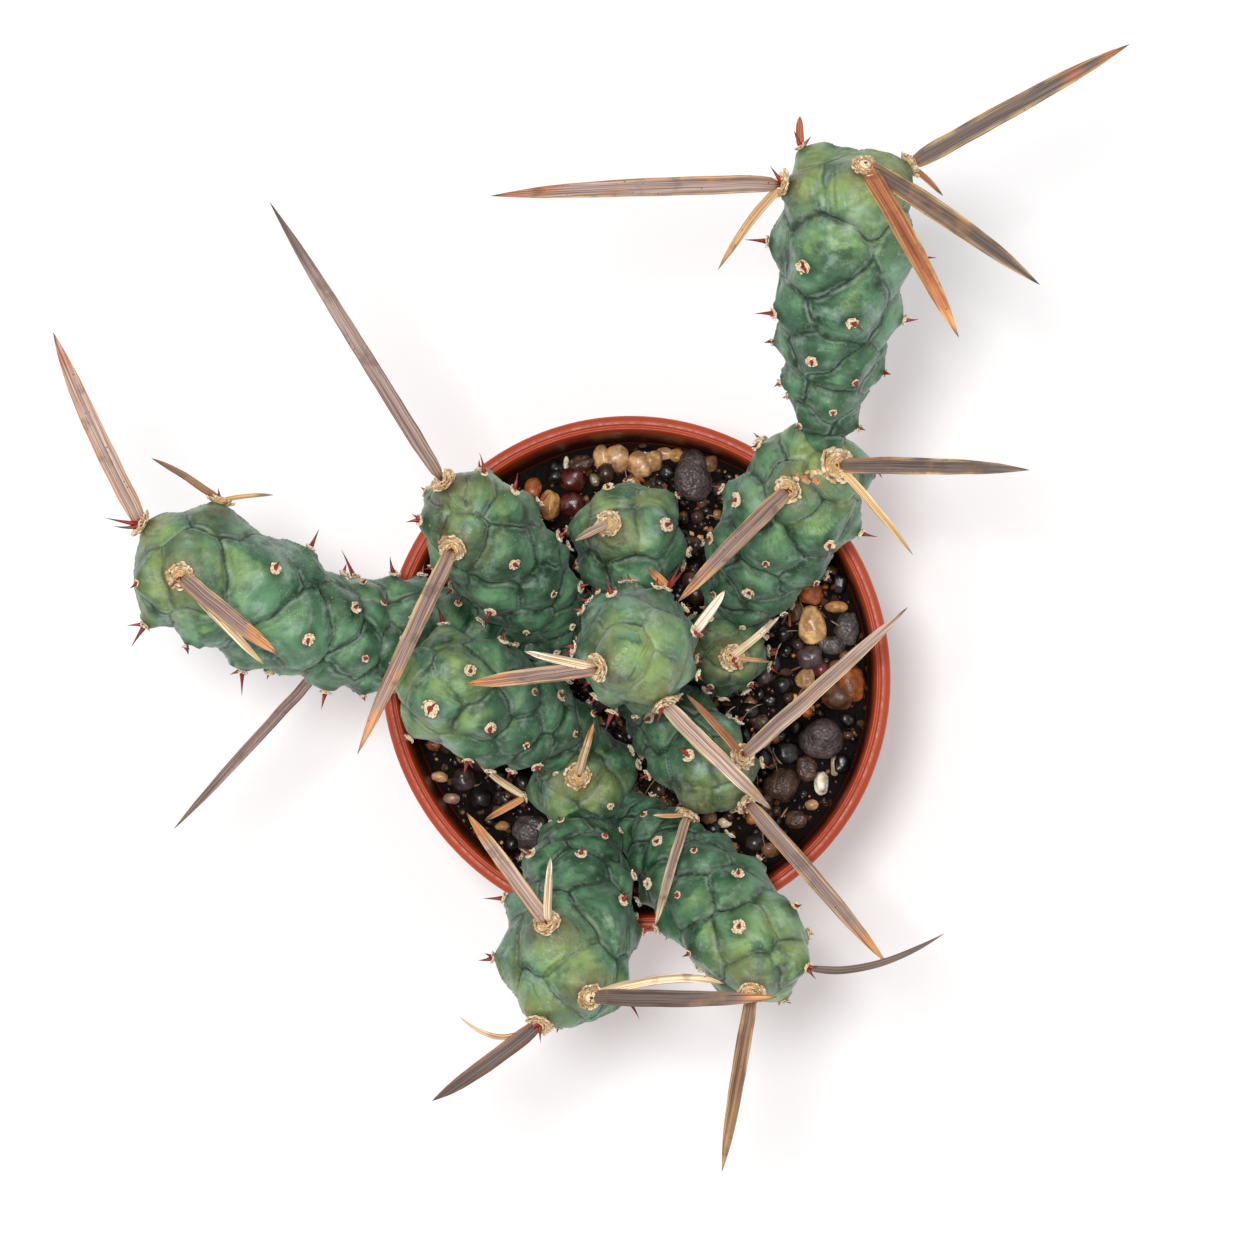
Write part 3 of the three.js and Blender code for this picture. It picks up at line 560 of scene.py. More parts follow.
            {"at": (650, 774), "size": "medium"},
        ],
    },
    "bottom": {
        "radius": 14.6, "belly": 0.66, "neck": 0.42, "blunt": 2.5, "base": (584, 822, 102),
        "tip": (560, 1011, 143),
        "rings": 136,
        "areoles": [
            {"at": (548, 924), "size": "large", "blades": [
                {"to": (466, 812), "rise": 14, "width": 3.7, "tones": ("palemauve", "orange")},
                {"to": (551, 856), "rise": 14, "width": 1.9, "tones": ("cream", "white"),
                 "edge": "white"}]},
            {"at": (590, 996), "size": "large", "rings": True, "blades": [
                {"to": (778, 997), "rise": 9, "width": 3.9, "tones": ("charcoal", "orange"),
                 "edge": "mauve"},
                {"to": (725, 984), "rise": 4, "width": 2.4, "tones": ("cream", "yellow"),
                 "edge": "white",
                 "via": (668, 979)}]},
            {"at": (540, 1023), "size": "large", "thorns": [(534, 1030), (541, 1044), (527, 1030)],
             "blades": [
                {"to": (432, 1101), "rise": 2, "width": 3.8, "tones": ("charcoal", "charcoal"),
                 "edge": "rust"},
                {"to": (460, 1017), "rise": 3, "width": 1.4, "tones": ("tan", "cream"),
                 "via": (500, 1037)}]},
            {"at": (581, 855), "size": "medium"},
            {"at": (622, 901), "size": "medium", "thorns": [(632, 889)]},
            {"at": (504, 898), "size": "medium", "thorns": [(482, 898)]},
            {"at": (496, 957), "size": "medium", "thorns": [(477, 960), (484, 953)]},
            {"at": (632, 1003), "size": "small", "thorns": [(641, 1020)]},
            {"at": (643, 932), "size": "small", "thorns": [(653, 927)]},
        ],
    },
    "bottom_right": {
        "radius": 12.8, "belly": 0.66, "neck": 0.4, "blunt": 2.6, "base": (629, 810, 98),
        "tip": (786, 981, 135),
        "rings": 128,
        "areoles": [
            {"at": (739, 927), "size": "medium", "ring": 1.5},
            {"at": (738, 874), "size": "medium", "thorns": [(739, 866)]},
            {"at": (694, 851), "size": "small"},
            {"at": (678, 895), "size": "small"},
            {"at": (689, 953), "size": "small", "thorns": [(681, 957)]},
            {"at": (757, 860), "size": "small"},
            {"at": (795, 906), "size": "medium", "thorns": [(803, 904)]},
            {"at": (808, 968), "size": "medium", "thorns": [(819, 967), (817, 980)], "blades": [
                {"to": (945, 933), "rise": 4, "width": 1.8, "tones": ("charcoal", "charcoal"),
                 "edge": "brown",
                 "via": (873, 965)}]},
            {"at": (752, 991), "size": "large", "blades": [
                {"to": (722, 1172), "rise": -3, "width": 3.4, "tones": ("brown", "tan"),
                 "edge": "tan"}]},
        ],
    },
}


def measure(name, stem):
    stem["name"] = name
    stem["start"] = place(*stem["base"])
    along = place(*stem["tip"]) - stem["start"]
    stem["length"] = np.linalg.norm(along)
    stem["along"] = along / stem["length"]
    side = np.cross((0, 0, 1), stem["along"])
    if side @ side < 0.01:
        side = np.array([1.0, 0, 0]) - stem["along"] * stem["along"][0]
    stem["side"] = unit(side)
    stem["over"] = np.cross(stem["along"], stem["side"])


def radiusAt(stem, t):
    belly, neck, blunt = stem["belly"], stem["neck"], stem["blunt"]
    q = np.clip((t - belly) / (1 - belly), 0, 1)
    dome = (1 - q ** blunt) ** (1 / blunt)
    swell = np.sin(math.pi / 2 * np.clip(t, 0, belly) / belly) ** 0.85
    return stem["radius"] * np.where(t >= belly, dome, neck + (1 - neck) * swell)


# how far along the axis points are, and their offset from it
def relative(stem, points):
    fromStart = points - stem["start"]
    reach = fromStart @ stem["along"]
    return reach / stem["length"], fromStart - reach[:, None] * stem["along"]


# the smooth surface's points and outward normals nearest to points
def onSurface(stem, points):
    t, offset = relative(stem, points)
    far = np.linalg.norm(offset, axis=1)
    out = np.where(far[:, None] > 1e-4, offset / np.maximum(far, 1e-9)[:, None], stem["side"])
    at = np.maximum(t, -0.02)
    radius = radiusAt(stem, at)
    belly, blunt = stem["belly"], stem["blunt"]
    rise = np.maximum((t - belly) / (1 - belly), 1e-9)
    width = far / stem["radius"]
    scale = (rise ** blunt + width ** blunt) ** (-1 / blunt)
    at = np.where(t > belly, belly + rise * scale * (1 - belly), at)
    radius = np.where(t > belly, width * scale * stem["radius"], radius)
    step = 0.004
    slope = (radiusAt(stem, at + step) - radiusAt(stem, at - step)) / (2 * step * stem["length"])
    normal = out - slope[:, None] * stem["along"]
    normal /= np.linalg.norm(normal, axis=1)[:, None]
    spots = stem["start"] + (at * stem["length"])[:, None] * stem["along"] + out * radius[:, None]
    return spots, normal, at


# where the line of sight through a place in the picture first meets a segment, or passes it closest
def sight(stem, px, py):
    heights = np.arange(215, 70, -0.25)
    along = ray(px, py)
    points = eye + along * ((heights - eye[2]) / along[2])[:, None]
    t, offset = relative(stem, points)
    far = np.linalg.norm(offset, axis=1)
    outside = np.where(t > 1, np.hypot(far, (t - 1) * stem["length"]), far - radiusAt(stem, t))
    outside[t < -0.05] = 1e9
    met = np.nonzero(outside <= 0)[0]
    best = met[0] if len(met) else int(np.argmin(outside))
    return onSurface(stem, points[best:best + 1])


def spacingAt(stem, t):
    reach = np.clip(t, 0, 1) ** 0.6
    grown = surfaceForm["closest"] + (surfaceForm["widest"] - surfaceForm["closest"]) * reach
    return grown * stem.get("sparse", 1) * stem["radius"] / 14


def sizeScale(stem, t):
    return np.minimum(spacingAt(stem, t) / surfaceForm["widest"], 1)


def peakAt(stem, t):
    return surfaceForm["peak"] * float(sizeScale(stem, t)) ** 0.7


# the spot on the smooth surface whose swelling has its top at a place in the picture
def spotUnder(stem, px, py):
    aim = np.array([px, py], float)
    found = sight(stem, px, py)
    for _ in range(2):
        spots, normals, ats = found
        aim -= shownAt(spots[0] + normals[0] * peakAt(stem, ats[0])) - (px, py)
        found = sight(stem, *aim)
    return found


def site(seen, spots, normals, ats):
    return {**seen, "point": spots[0], "normal": normals[0], "t": float(ats[0])}


# the areoles that the picture shows, then others in a spiral on the hidden sides
def areolesOf(stem):
    found = [site(seen, *spotUnder(stem, *seen["at"])) for seen in stem["areoles"]]
    candidates = 420
    for i in range(candidates):
        t = 0.985 - (i / candidates) * 0.95
        turn = i * surfaceForm["goldenAngle"]
        way = math.cos(turn) * stem["side"] + math.sin(turn) * stem["over"]
        point = stem["start"] + t * stem["length"] * stem["along"] + way * radiusAt(stem, np.array(t))
        spacing = spacingAt(stem, t) * 0.86
        spots, normals, ats = onSurface(stem, point[None])
        seen = t > surfaceForm["neckShare"] and unit(eye - spots[0]) @ normals[0] > surfaceForm["facing"]
        if not seen and all(np.linalg.norm(other["point"] - point) > spacing for other in found):
            found.append(site({"size": "medium" if t > 0.3 else "small"}, spots, normals, ats))
    return found


def outsideBy(stem, points):
    t, offset = relative(stem, points)
    far = np.linalg.norm(offset, axis=1)
    straight = far - radiusAt(stem, t)
    behind = np.hypot(far - radiusAt(stem, np.zeros(1)), t * stem["length"])
    spots, normals, _ = onSurface(stem, points)
    dome = np.einsum("ij,ij->i", points - spots, normals)
    return np.where(t < 0, behind, np.where(t <= stem["belly"], straight, dome))


# an areole pressed close to another segment, the soil or the rim has no thorn
def markCrowded(stems):
    for stem in stems:
        points = np.array([one["point"] for one in stem["sites"]])
        ahead = points + 4.5 * np.array([one["normal"] for one in stem["sites"]])
        closest = np.full(len(points), 1e9)
        for other in stems:
            if other is not stem:
                closest = np.minimum(closest,
                                     np.minimum(outsideBy(other, ahead), outsideBy(other, points)))
        low = ahead[:, 2] < soil["top"] + 2.5
        fromAxis = np.hypot(ahead[:, 0], ahead[:, 1])
        onRim = (ahead[:, 2] < pot["height"] + 1) & (fromAxis > pot["collarInside"] - 4)
        for i, one in enumerate(stem["sites"]):
            one["crowded"] = bool(stem.get("bare") or closest[i] < 4 or low[i] or onRim[i])
            one["buried"] = bool(closest[i] < 0 or ahead[i, 2] < soil["top"])


for stemName, oneStem in segments.items():
    measure(stemName, oneStem)
stems = list(segments.values())
for oneStem in stems:
    oneStem["sites"] = areolesOf(oneStem)
markCrowded(stems)
print("areoles placed:", sum(len(one["sites"]) for one in stems))


# points moved so that the swellings come out broad and low round the neck
def stretched(stem, points):
    t, offset = relative(stem, points)
    neck = stem["belly"] * stem["length"]
    x = np.clip(t / stem["belly"], 0, 1)
    longer = t * stem["length"] + 0.6 * neck * (x - x * x / 2)
    return longer[:, None] * stem["along"] + offset * (0.72 + 0.28 * x)[:, None]


# The swellings' relief: height above the smooth surface, how far each point is from a crease and from its
# areole, how deep the crease is there, how much folds shade it, and the number of its swelling.
def swellings(stem, points, t):
    form = reliefForm
    peaks = np.array([one["point"] for one in stem["sites"]])
    ts = np.array([one["t"] for one in stem["sites"]])
    centres = stretched(stem, peaks - form["droop"] * spacingAt(stem, ts)[:, None] * stem["along"])
    seed = len(stem["name"]) * 31 + 5
    shift = np.stack([ripple(points, 9, seed + k) for k in range(3)], axis=1) * 0.8
    shift += np.stack([ripple(points, 2.6, seed + 7 + k) for k in range(3)], axis=1) * 0.14
    moved = stretched(stem, points + shift)
    lead = form["lap"] * (centres @ stem["along"])
    away = np.linalg.norm(moved[:, None] - centres[None], axis=2) + lead[None]
    order = np.argpartition(away, 1, axis=1)[:, :2]
    rows = np.arange(len(points))
    swap = away[rows, order[:, 0]] > away[rows, order[:, 1]]
    order[swap] = order[swap][:, ::-1]
    first, second = order[:, 0], order[:, 1]
    toFirst, toSecond = moved - centres[first], moved - centres[second]
    toFirst /= np.linalg.norm(toFirst, axis=1)[:, None] + 1e-6
    toSecond /= np.linalg.norm(toSecond, axis=1)[:, None] + 1e-6
    parting = np.maximum(np.linalg.norm(toFirst - toSecond, axis=1), 0.25)
    crease = (away[rows, second] - away[rows, first]) / parting
    between = centres[first] - centres[second]
    level = np.abs(between @ stem["along"]) / np.linalg.norm(between, axis=1)
    broken = np.clip(0.72 + 0.5 * ripple(points, 11, seed + 40), 0.15, 1)
    line = (0.18 + 0.82 * smoothShare(level, 0.25, 0.8)) * broken
    fromAreole = np.linalg.norm(points - peaks[first], axis=1)
    share = fromAreole / np.maximum(fromAreole + crease, 1e-6)
    rise = form["point"] * (1 - share) ** 1.5 + (1 - form["point"]) * (1 - share ** 6)
    scale = sizeScale(stem, t)
    low, high = surfaceForm["crease"] * scale, surfaceForm["peak"] * scale ** 0.7
    height = -low * (0.55 + 0.45 * line) + (low * (0.55 + 0.45 * line) + high) * rise
    # a soft rim beside each crease, a narrow groove in it, and folds across the flanks
    height += form["rim"] * scale * line * np.exp(-((crease - 1.1 * scale) / 0.45) ** 2)
    height -= form["groove"] * scale * line * np.exp(-(crease / 0.28) ** 2)
    folds = np.zeros(len(points))
    for size, offset, depth in ((9, 2.1, 0.26), (6, 3.5, 0.2), (8, 5.0, 0.16)):
        fold = np.clip(0.25 + ripple(points, size, seed + 20 + size), 0,
                       1) * np.exp(-((crease - offset * scale) / 0.3) ** 2)
        height -= depth * scale * fold
        folds += 0.55 * fold
    # pleats round the neck
    reach = t * stem["length"] + 1.5 * ripple(points, 14, seed + 30)
    pleat = (1 - np.abs(np.sin(math.pi * reach / form["pleat"]))) ** 4
    pleat *= smoothShare(t, 0.66, 0.22) * np.clip(0.5 + 0.9 * ripple(points, 12, seed + 31), 0, 1)
    height -= form["pleatDepth"] * pleat
    folds += 0.8 * pleat
    height += 0.16 * scale * ripple(points, 6, seed + 22)
    return {"height": height, "crease": crease, "fromAreole": fromAreole, "line": line,
            "fold": np.clip(folds, 0, 1), "swelling": first}


# a segment's outline from its tip to its foot, as reach along the axis and radius, in even steps
def outline(stem, steps):
    belly, blunt, length = stem["belly"], stem["blunt"], stem["length"]
    turn = np.linspace(0, math.pi / 2, 200)
    reach = (belly + (1 - belly) * np.cos(turn).clip(0) ** (2 / blunt)) * length
    radius = stem["radius"] * np.sin(turn).clip(0) ** (2 / blunt)
    lower = np.linspace(belly, 0, 200)[1:]
    foot = np.linspace(0, math.pi / 2, 30)[1:]
    footRadius = float(radiusAt(stem, np.zeros(1))[0])
    reach = np.concatenate([reach, lower * length, -1.5 * np.sin(foot)])
    radius = np.concatenate([radius, radiusAt(stem, lower), footRadius * np.cos(foot)])
    path = np.concatenate([[0], np.cumsum(np.hypot(np.diff(reach), np.diff(radius)))])
    even = np.linspace(0, path[-1], steps + 1)
    reach, radius = np.interp(even, path, reach), np.interp(even, path, radius)
    tangent = np.stack([np.gradient(reach), np.gradient(radius)], axis=1)
    tangent /= np.linalg.norm(tangent, axis=1)[:, None]
    return reach, radius, tangent[:, 1], -tangent[:, 0]


def makeSkin(stem, material):
    rings = stem["rings"]
    around = int(rings * 1.06)
    mesh = ballMesh(stem["name"] + "_skin", around, rings)
    turn, down = ballTurns(pointsOf(mesh))
    reach, radius, leanAlong, leanOut = outline(stem, rings)
    steps = np.arange(rings + 1) / rings
    at, wide = np.interp(down, steps, reach), np.interp(down, steps, radius)
    nAlong, nOut = np.interp(down, steps, leanAlong), np.interp(down, steps, leanOut)
    out = np.cos(turn)[:, None] * stem["side"] + np.sin(turn)[:, None] * stem["over"]
    points = stem["start"] + at[:, None] * stem["along"] + wide[:, None] * out
    normals = nAlong[:, None] * stem["along"] + nOut[:, None] * out
    t = at / stem["length"]
    relief = swellings(stem, points, t)
    height = relief["height"] * np.clip((at + 1.5) / 3, 0, 1)
    blush = np.zeros(len(points))
    for one in stem["sites"]:
        if one["size"] in ("large", "corky"):
            away = np.linalg.norm(points - one["point"], axis=1)
            blush = np.maximum(blush, np.exp(-(away / 6) ** 2))
    setPoints(mesh, points + normals * height[:, None])
    facing = np.zeros(len(points) * 3)
    mesh.vertices.foreach_get("normal", facing)
    for name in ("crease", "fromAreole", "line", "fold"):
        storeValues(mesh, name, relief[name])
    storeValues(mesh, "tip", t)
    storeValues(mesh, "blush", blush)
    # how far each point faces up, which the skin uses for painted light on the tops and painted sheen on
    # the flanks
    storeValues(mesh, "sunny", facing[2::3])
    storeValues(mesh, "cell", (np.sin(relief["swelling"] * 12.9898 + len(stem["name"])) * 43758.5453) % 1)
    return addObject(stem["name"] + "_skin", mesh, [material], ["stem_" + stem["name"]])


# deep also gives the painted shade in the folds, creases and hollows round the areoles, and crease the
# painted shade of the crease lines; bright is partly painted light on the swellings, and sun is the yellow
# green of the upward tops, partly their own tint and partly painted light
skinLook = {
    "deep": colour(0.008, 0.034, 0.012),
    "middle": colour(0.046, 0.118, 0.060),
    "bright": colour(0.120, 0.270, 0.140),
    "bloom": colour(0.420, 0.520, 0.460),
    "grey": colour(0.165, 0.245, 0.195),
    "sun": colour(0.270, 0.440, 0.120),
    "tip": colour(0.330, 0.420, 0.120),
    "crease": colour(0.004, 0.012, 0.005),
    "blush": colour(0.150, 0.088, 0.045),
    "dots": colour(0.450, 0.520, 0.420),
}


def skinFinish():
    look = skinLook
    material, tree, surface = newFinish("waxy stem skin", 0.42)
    where = objectPlace(tree)
    crease, tip = storedValue(tree, "crease"), storedValue(tree, "tip")
    line, fold = storedValue(tree, "line"), storedValue(tree, "fold")
    cell, away = storedValue(tree, "cell"), storedValue(tree, "fromAreole")
    sunny = storedValue(tree, "sunny")
    cloud, grain = noise(tree, where, 8, 4, 0.6), noise(tree, where, 1.8, 4, 0.65)
    # deep green or brighter in clouds, with painted shade towards the creases and painted light on the
    # swellings away from them
    share = maths(tree, "ADD", times(tree, cloud, 0.95), times(tree, grain, 0.32))
    share = maths(tree, "ADD", share, times(tree, spread(tree, crease, 0.2, 3.0), 0.22))
    paint = blendColours(tree, spread(tree, share, 0.60, 0.92), look["deep"], look["middle"])
    lift = times(tree, spread(tree, noise(tree, where, 9, 4), 0.42, 0.62),
                 spread(tree, crease, 0.4, 2.4))
    paint = blendColours(tree, times(tree, lift, 0.92), paint, look["bright"])
    paint = blendColours(tree, times(tree, spread(tree, cell, 0.5, 1), 0.35), paint, look["bright"])
    # greyer on the flanks, partly bloom and partly painted sheen on the sides that turn away from above;
    # yellow green on the upward tops, partly their own tint and partly painted light; and yellow green
    # towards the tip
    flankBloomAndSheen = times(tree, spread(tree, sunny, 0.75, 0.15),
                  spread(tree, noise(tree, where, 12, 3), 0.36, 0.60))
    paint = blendColours(tree, times(tree, flankBloomAndSheen, 0.45), paint, look["grey"])
    lit = times(tree, spread(tree, sunny, 0.72, 0.98),
                spread(tree, noise(tree, where, 7, 4), 0.40, 0.60))
    lit = times(tree, lit, spread(tree, tip, 0.35, 0.85, 0.2, 1.0))
    paint = blendColours(tree, times(tree, lit, 0.55), paint, look["sun"])
    young = times(tree, spread(tree, tip, 0.66, 1.0),
                  spread(tree, noise(tree, where, 10, 2), 0.40, 0.62))
    paint = blendColours(tree, times(tree, young, 0.5), paint, look["tip"])
    # pale bloom in thin clouds, and on the rims beside the creases, where it is partly a painted highlight
    mist = spread(tree, noise(tree, where, 5.5, 5, 0.68), 0.50, 0.70)
    paint = blendColours(tree, times(tree, mist, 0.38), paint, look["bloom"])
    crestBloomAndHighlight = times(tree, spread(tree, crease, 0.22, 0.5), spread(tree, crease, 1.25, 0.6))
    crestBloomAndHighlight = times(tree, crestBloomAndHighlight, spread(tree, noise(tree, where, 4, 3), 0.40, 0.60))
    paint = blendColours(tree, times(tree, crestBloomAndHighlight, 0.32), paint, look["bloom"])
    # brown blush round the large areoles, and painted shade in the hollow round every one
    blush = times(tree, storedValue(tree, "blush"), spread(tree, grain, 0.25, 0.6))
    paint = blendColours(tree, times(tree, blush, 0.8), paint, look["blush"])
    areoleHollowShade = times(tree, spread(tree, away, 3.6, 1.2), 0.62)
    paint = blendColours(tree, areoleHollowShade, paint, look["deep"])
    # tiny pale dots
    cells = newNode(tree, "TexVoronoi", {"Vector": where, "Scale": 900}).outputs["Distance"]
    dots = times(tree, spread(tree, cells, 0.2, 0.08),
                 spread(tree, noise(tree, where, 6, 2), 0.45, 0.6))
    paint = blendColours(tree, times(tree, dots, 0.4), paint, look["dots"])
    # painted shade in the folds and creases: dark thin crease lines with a softer painted shade beside them
    paint = blendColours(tree, times(tree, fold, 0.75), paint, look["deep"])
    shade = times(tree, times(tree, spread(tree, crease, 1.5, 0.0), line), 0.6)
    paint = blendColours(tree, shade, paint, look["deep"])
    cut = times(tree, times(tree, spread(tree, crease, 0.26, 0.02), line), 0.95)
    paint = blendColours(tree, cut, paint, look["crease"])
    useColour(tree, surface, paint)
    tree.links.new(spread(tree, grain, 0.3, 0.7, 0.34, 0.5), surface.inputs["Roughness"])
    surface.inputs["Sheen Weight"].default_value = 0.1
    surface.inputs["Sheen Roughness"].default_value = 0.35
    surface.inputs["Sheen Tint"].default_value = colour(0.80, 0.88, 0.84)
    surface.inputs["Specular IOR Level"].default_value = 0.42
    wrinkles = maths(tree, "ADD", times(tree, noise(tree, where, 1.4, 5, 0.65, 0.4), 0.6),
                     noise(tree, where, 4.0, 3))
    bumpFrom(tree, surface, wrinkles, 0.5, 0.7)
    return material


# blades, thorns, felt and bristles

# the papery tissue's colours
tones = {
    "mauve": (0.32, 0.225, 0.195), "palemauve": (0.47, 0.35, 0.295), "charcoal": (0.125, 0.090, 0.076),
    "cream": (0.86, 0.68, 0.44), "white": (0.90, 0.82, 0.66), "tan": (0.60, 0.37, 0.18),
    "yellow": (0.68, 0.44, 0.17), "orange": (0.66, 0.28, 0.10), "rust": (0.38, 0.13, 0.055),
    "brown": (0.22, 0.115, 0.060), "red": (0.34, 0.020, 0.016), "darkred": (0.10, 0.010, 0.010),
    "black": (0.02, 0.013, 0.012), "golden": (0.66, 0.42, 0.17), "straw": (0.80, 0.66, 0.42),
}

bladeForm = {
    "along": [0, 0.02, 0.06, 0.13, 0.30, 0.55, 0.72, 0.83, 0.92, 0.97, 1],
    "width": [0, 0.66, 0.86, 0.97, 1.0, 0.93, 0.79, 0.59, 0.32, 0.13, 0],
    "sink": 1.2,  # its tip's height counts from this far below its swelling's top
    "lift": 0.25,  # and it starts this far above that top
    "arch": 0.9,
}

bladeShape = ballMesh("blade shape", 14, 30)
thornShape = ballMesh("thorn shape", 5, 6)
flakeShape = ballMesh("flake shape", 5, 4)
padShape = ballMesh("pad shape", 10, 6)
bristleShape = shapeMesh("bristle shape", lambda shape: bmesh.ops.create_cone(
    shape, cap_ends=True, segments=3, radius1=1, radius2=0.15, depth=2))
paperMaterial, feltMaterial, thornMaterial, bristleMaterial = range(4)


def mixTones(first, second, share):
    share = np.asarray(share)[:, None]
    return np.array(first) * (1 - share) + np.array(second) * share


def curvePoint(root, bend, tip, s):
    s = s[:, None]
    return root * (1 - s) ** 2 + bend * 2 * s * (1 - s) + tip * s ** 2


# a long body swept along a curve: across and up are its section's half sizes
def sweep(template, root, bend, tip, width, thick, twist=0.0, shares=None, cup=0.0):
    turn, down = ballTurns(pointsOf(template))
    s = 1 - down
    share = np.interp(s, *(shares or (bladeForm["along"], bladeForm["width"])))
    at = curvePoint(root, bend, tip, s)
    ahead, behind = np.minimum(s + 0.01, 1.0), s - 0.01
    forward = curvePoint(root, bend, tip, ahead) - curvePoint(root, bend, tip, behind)
    forward /= np.linalg.norm(forward, axis=1)[:, None]
    side = np.cross((0, 0, 1), forward)
    lengths = np.linalg.norm(side, axis=1)[:, None]
    side = np.where(lengths > 0.05, side / np.maximum(lengths, 1e-6), (1.0, 0, 0))
    up = np.cross(forward, side)
    angle = twist * (s - 0.2)
    sideways = side * np.cos(angle)[:, None] + up * np.sin(angle)[:, None]
    upwards = up * np.cos(angle)[:, None] - side * np.sin(angle)[:, None]
    x, y = np.cos(turn), np.sin(turn)
    lens = y * (1 - 0.45 * x * x) * (0.35 + 0.65 * share)
    lift = cup * x * x * share * width / 2
    sideways *= (x * share * width / 2)[:, None]
    upwards *= (lens * thick / 2 + lift)[:, None]
    points = at + sideways + upwards
    return points, s, x, x * width / 2 * share


def addBlade(cluster, stem, one, blade, draw):
    low = one["point"] + one["normal"] * (peakAt(stem, one["t"]) - bladeForm["sink"])
    tip = place(*blade["to"], low[2] + blade["rise"])
    root = low + one["normal"] * (bladeForm["sink"] + bladeForm["lift"])
    half = (root + tip) / 2
    length = np.linalg.norm(tip - root)
    middle = half + (0, 0, 0.02 * length) + one["normal"] * min(bladeForm["arch"], 0.03 * length)
    if "via" in blade:
        middle = place(*blade["via"], half[2])
    bend = 2 * middle - half
    width = blade["width"]
    points, s, x, acrossMm = sweep(bladeShape, root, bend, tip, width, max(0.55, width * 0.2),
                                   twist=draw.uniform(-0.35, 0.35), cup=draw.uniform(-0.16, 0.2))
    shift = np.stack([ripple(points, 9, int(draw.integers(1e6))) for _ in range(3)], axis=1) * 0.12
    points += shift * (1 - s[:, None])
    first, second = (tones[tone] for tone in blade["tones"])
    wobble = ripple(points, 8, int(draw.integers(1e6))) * 0.14
    tint = mixTones(first, second, smoothShare(s + wobble, 0.58, 1.0))
    edge = np.array(tones[blade.get("edge", "golden")])
    rim = smoothShare(np.abs(x), 0.55,
                      0.95) * (0.7 + 0.6 * ripple(points, 6, int(draw.integers(1e6)))).clip(0, 1)
    tint = tint * (1 - rim[:, None] * 0.85) + edge * rim[:, None] * 0.85
    foot = smoothShare(s, 0.07, 0.0)
    tint = tint * (1 - 0.6 * foot[:, None]) + np.array(tones["brown"]) * 0.6 * foot[:, None]
    end = smoothShare(s, 0.95, 0.985)
    tint = tint * (1 - end[:, None]) + np.array(tones["black"]) * end[:, None]
    cluster.add(bladeShape, points, tint, paperMaterial, across=acrossMm + draw.uniform(0, 90),
                along=s * length)


thornShares = ([0, 0.04, 0.15, 0.4, 0.75, 1], [0.5, 1.0, 0.88, 0.52, 0.2, 0])


def addThorn(cluster, root, way, length, thick, draw, body="red"):
    tip = root + way * length
    bend = (root + tip) / 2 + draw.normal(size=3) * 0.05 * length
    points, s, _, _ = sweep(thornShape, root, bend, tip, thick, thick, shares=thornShares)
    tint = mixTones(tones[body], tones["darkred"], smoothShare(s, 0.40, 0.85))
    collar = smoothShare(s, 0.16, 0.06)
    tint = tint * (1 - 0.5 * collar[:, None]) + np.array(tones["tan"]) * 0.5 * collar[:, None]
    cluster.add(thornShape, points, tint, thornMaterial, along=s * length)


def addFlake(cluster, middle, way, up, size, draw, tone):
    side = np.cross(up, way)
    base = pointsOf(flakeShape) * (0.9 + 0.25 * draw.random((len(flakeShape.vertices), 1)))
    base = base * np.array(size) / 2
    points = middle + base[:, :1] * side + base[:, 1:2] * way + base[:, 2:] * up
    tint = np.array(tones[tone]) * draw.uniform(0.75, 1.15)
    cluster.add(flakeShape, points, tint, feltMaterial)


def aboutNormal(normal):
    first = unit(np.cross(normal, (0.3, 0.9, 0.2)))
    return first, np.cross(normal, first)


def addFeltPad(cluster, middle, normal, radius, height, tone):
    first, second = aboutNormal(normal)
    ball = pointsOf(padShape)
    lumps = 1 + 0.12 * ripple(ball * 5 + middle, 4, 11)
    points = middle + (ball[:, :1] * first + ball[:, 1:2] * second) * radius * lumps[:, None]
    points += ball[:, 2:] * normal * height
    cluster.add(padShape, points, np.array(tones[tone]), feltMaterial)


# flakes in a circle, standing up and leaning out like a ragged crown
def addCrown(cluster, middle, normal, radius, count, size, lean, toneNames, draw, opening=0.0):
    first, second = aboutNormal(normal)
    start = draw.uniform(0, 2 * math.pi)
    for k in range(count):
        turn = start + (k + draw.uniform(-0.3, 0.3)) / count * (2 * math.pi - opening)
        out = math.cos(turn) * first + math.sin(turn) * second
        way = unit(np.cross(normal, out))
        tilt = lean + draw.uniform(-0.25, 0.35)
        up = unit(normal * math.cos(tilt) + out * math.sin(tilt))
        at = middle + out * radius * draw.uniform(0.9, 1.12) + normal * draw.uniform(-0.15, 0.2)
        flake = (size[0] * draw.uniform(0.7, 1.3), size[1] * draw.uniform(0.8, 1.5),
                 size[2] * draw.uniform(0.6, 1.4))
        thin = unit(np.cross(way, up))
        addFlake(cluster, at, way, up, flake, draw, toneNames[int(draw.integers(len(toneNames)))])
        if draw.random() < 0.3:
            addFlake(cluster, at + thin * 0.2, way, up, np.array(flake) * 0.6, draw, "brown")


def addBristles(cluster, middle, normal, radius, count, length, draw):
    first, second = aboutNormal(normal)
    cone = pointsOf(bristleShape)
    for _ in range(count):
        turn = draw.uniform(0, 2 * math.pi)
        out = math.cos(turn) * first + math.sin(turn) * second
        way = unit(normal + out * draw.uniform(0.2, 1.3))
        a, b = aboutNormal(way)
        long, thin = length * draw.uniform(0.6, 1.3), 0.055
        root = middle + out * radius * draw.uniform(0.4, 1.0)
        outwards = thin * (cone[:, :1] * a + cone[:, 1:2] * b)
        points = root + outwards + (cone[:, 2:] + 0.8) * long / 2 * way
        tint = np.array(tones["straw"]) * draw.uniform(0.75, 1.2)
        cluster.add(bristleShape, points, tint, bristleMaterial)


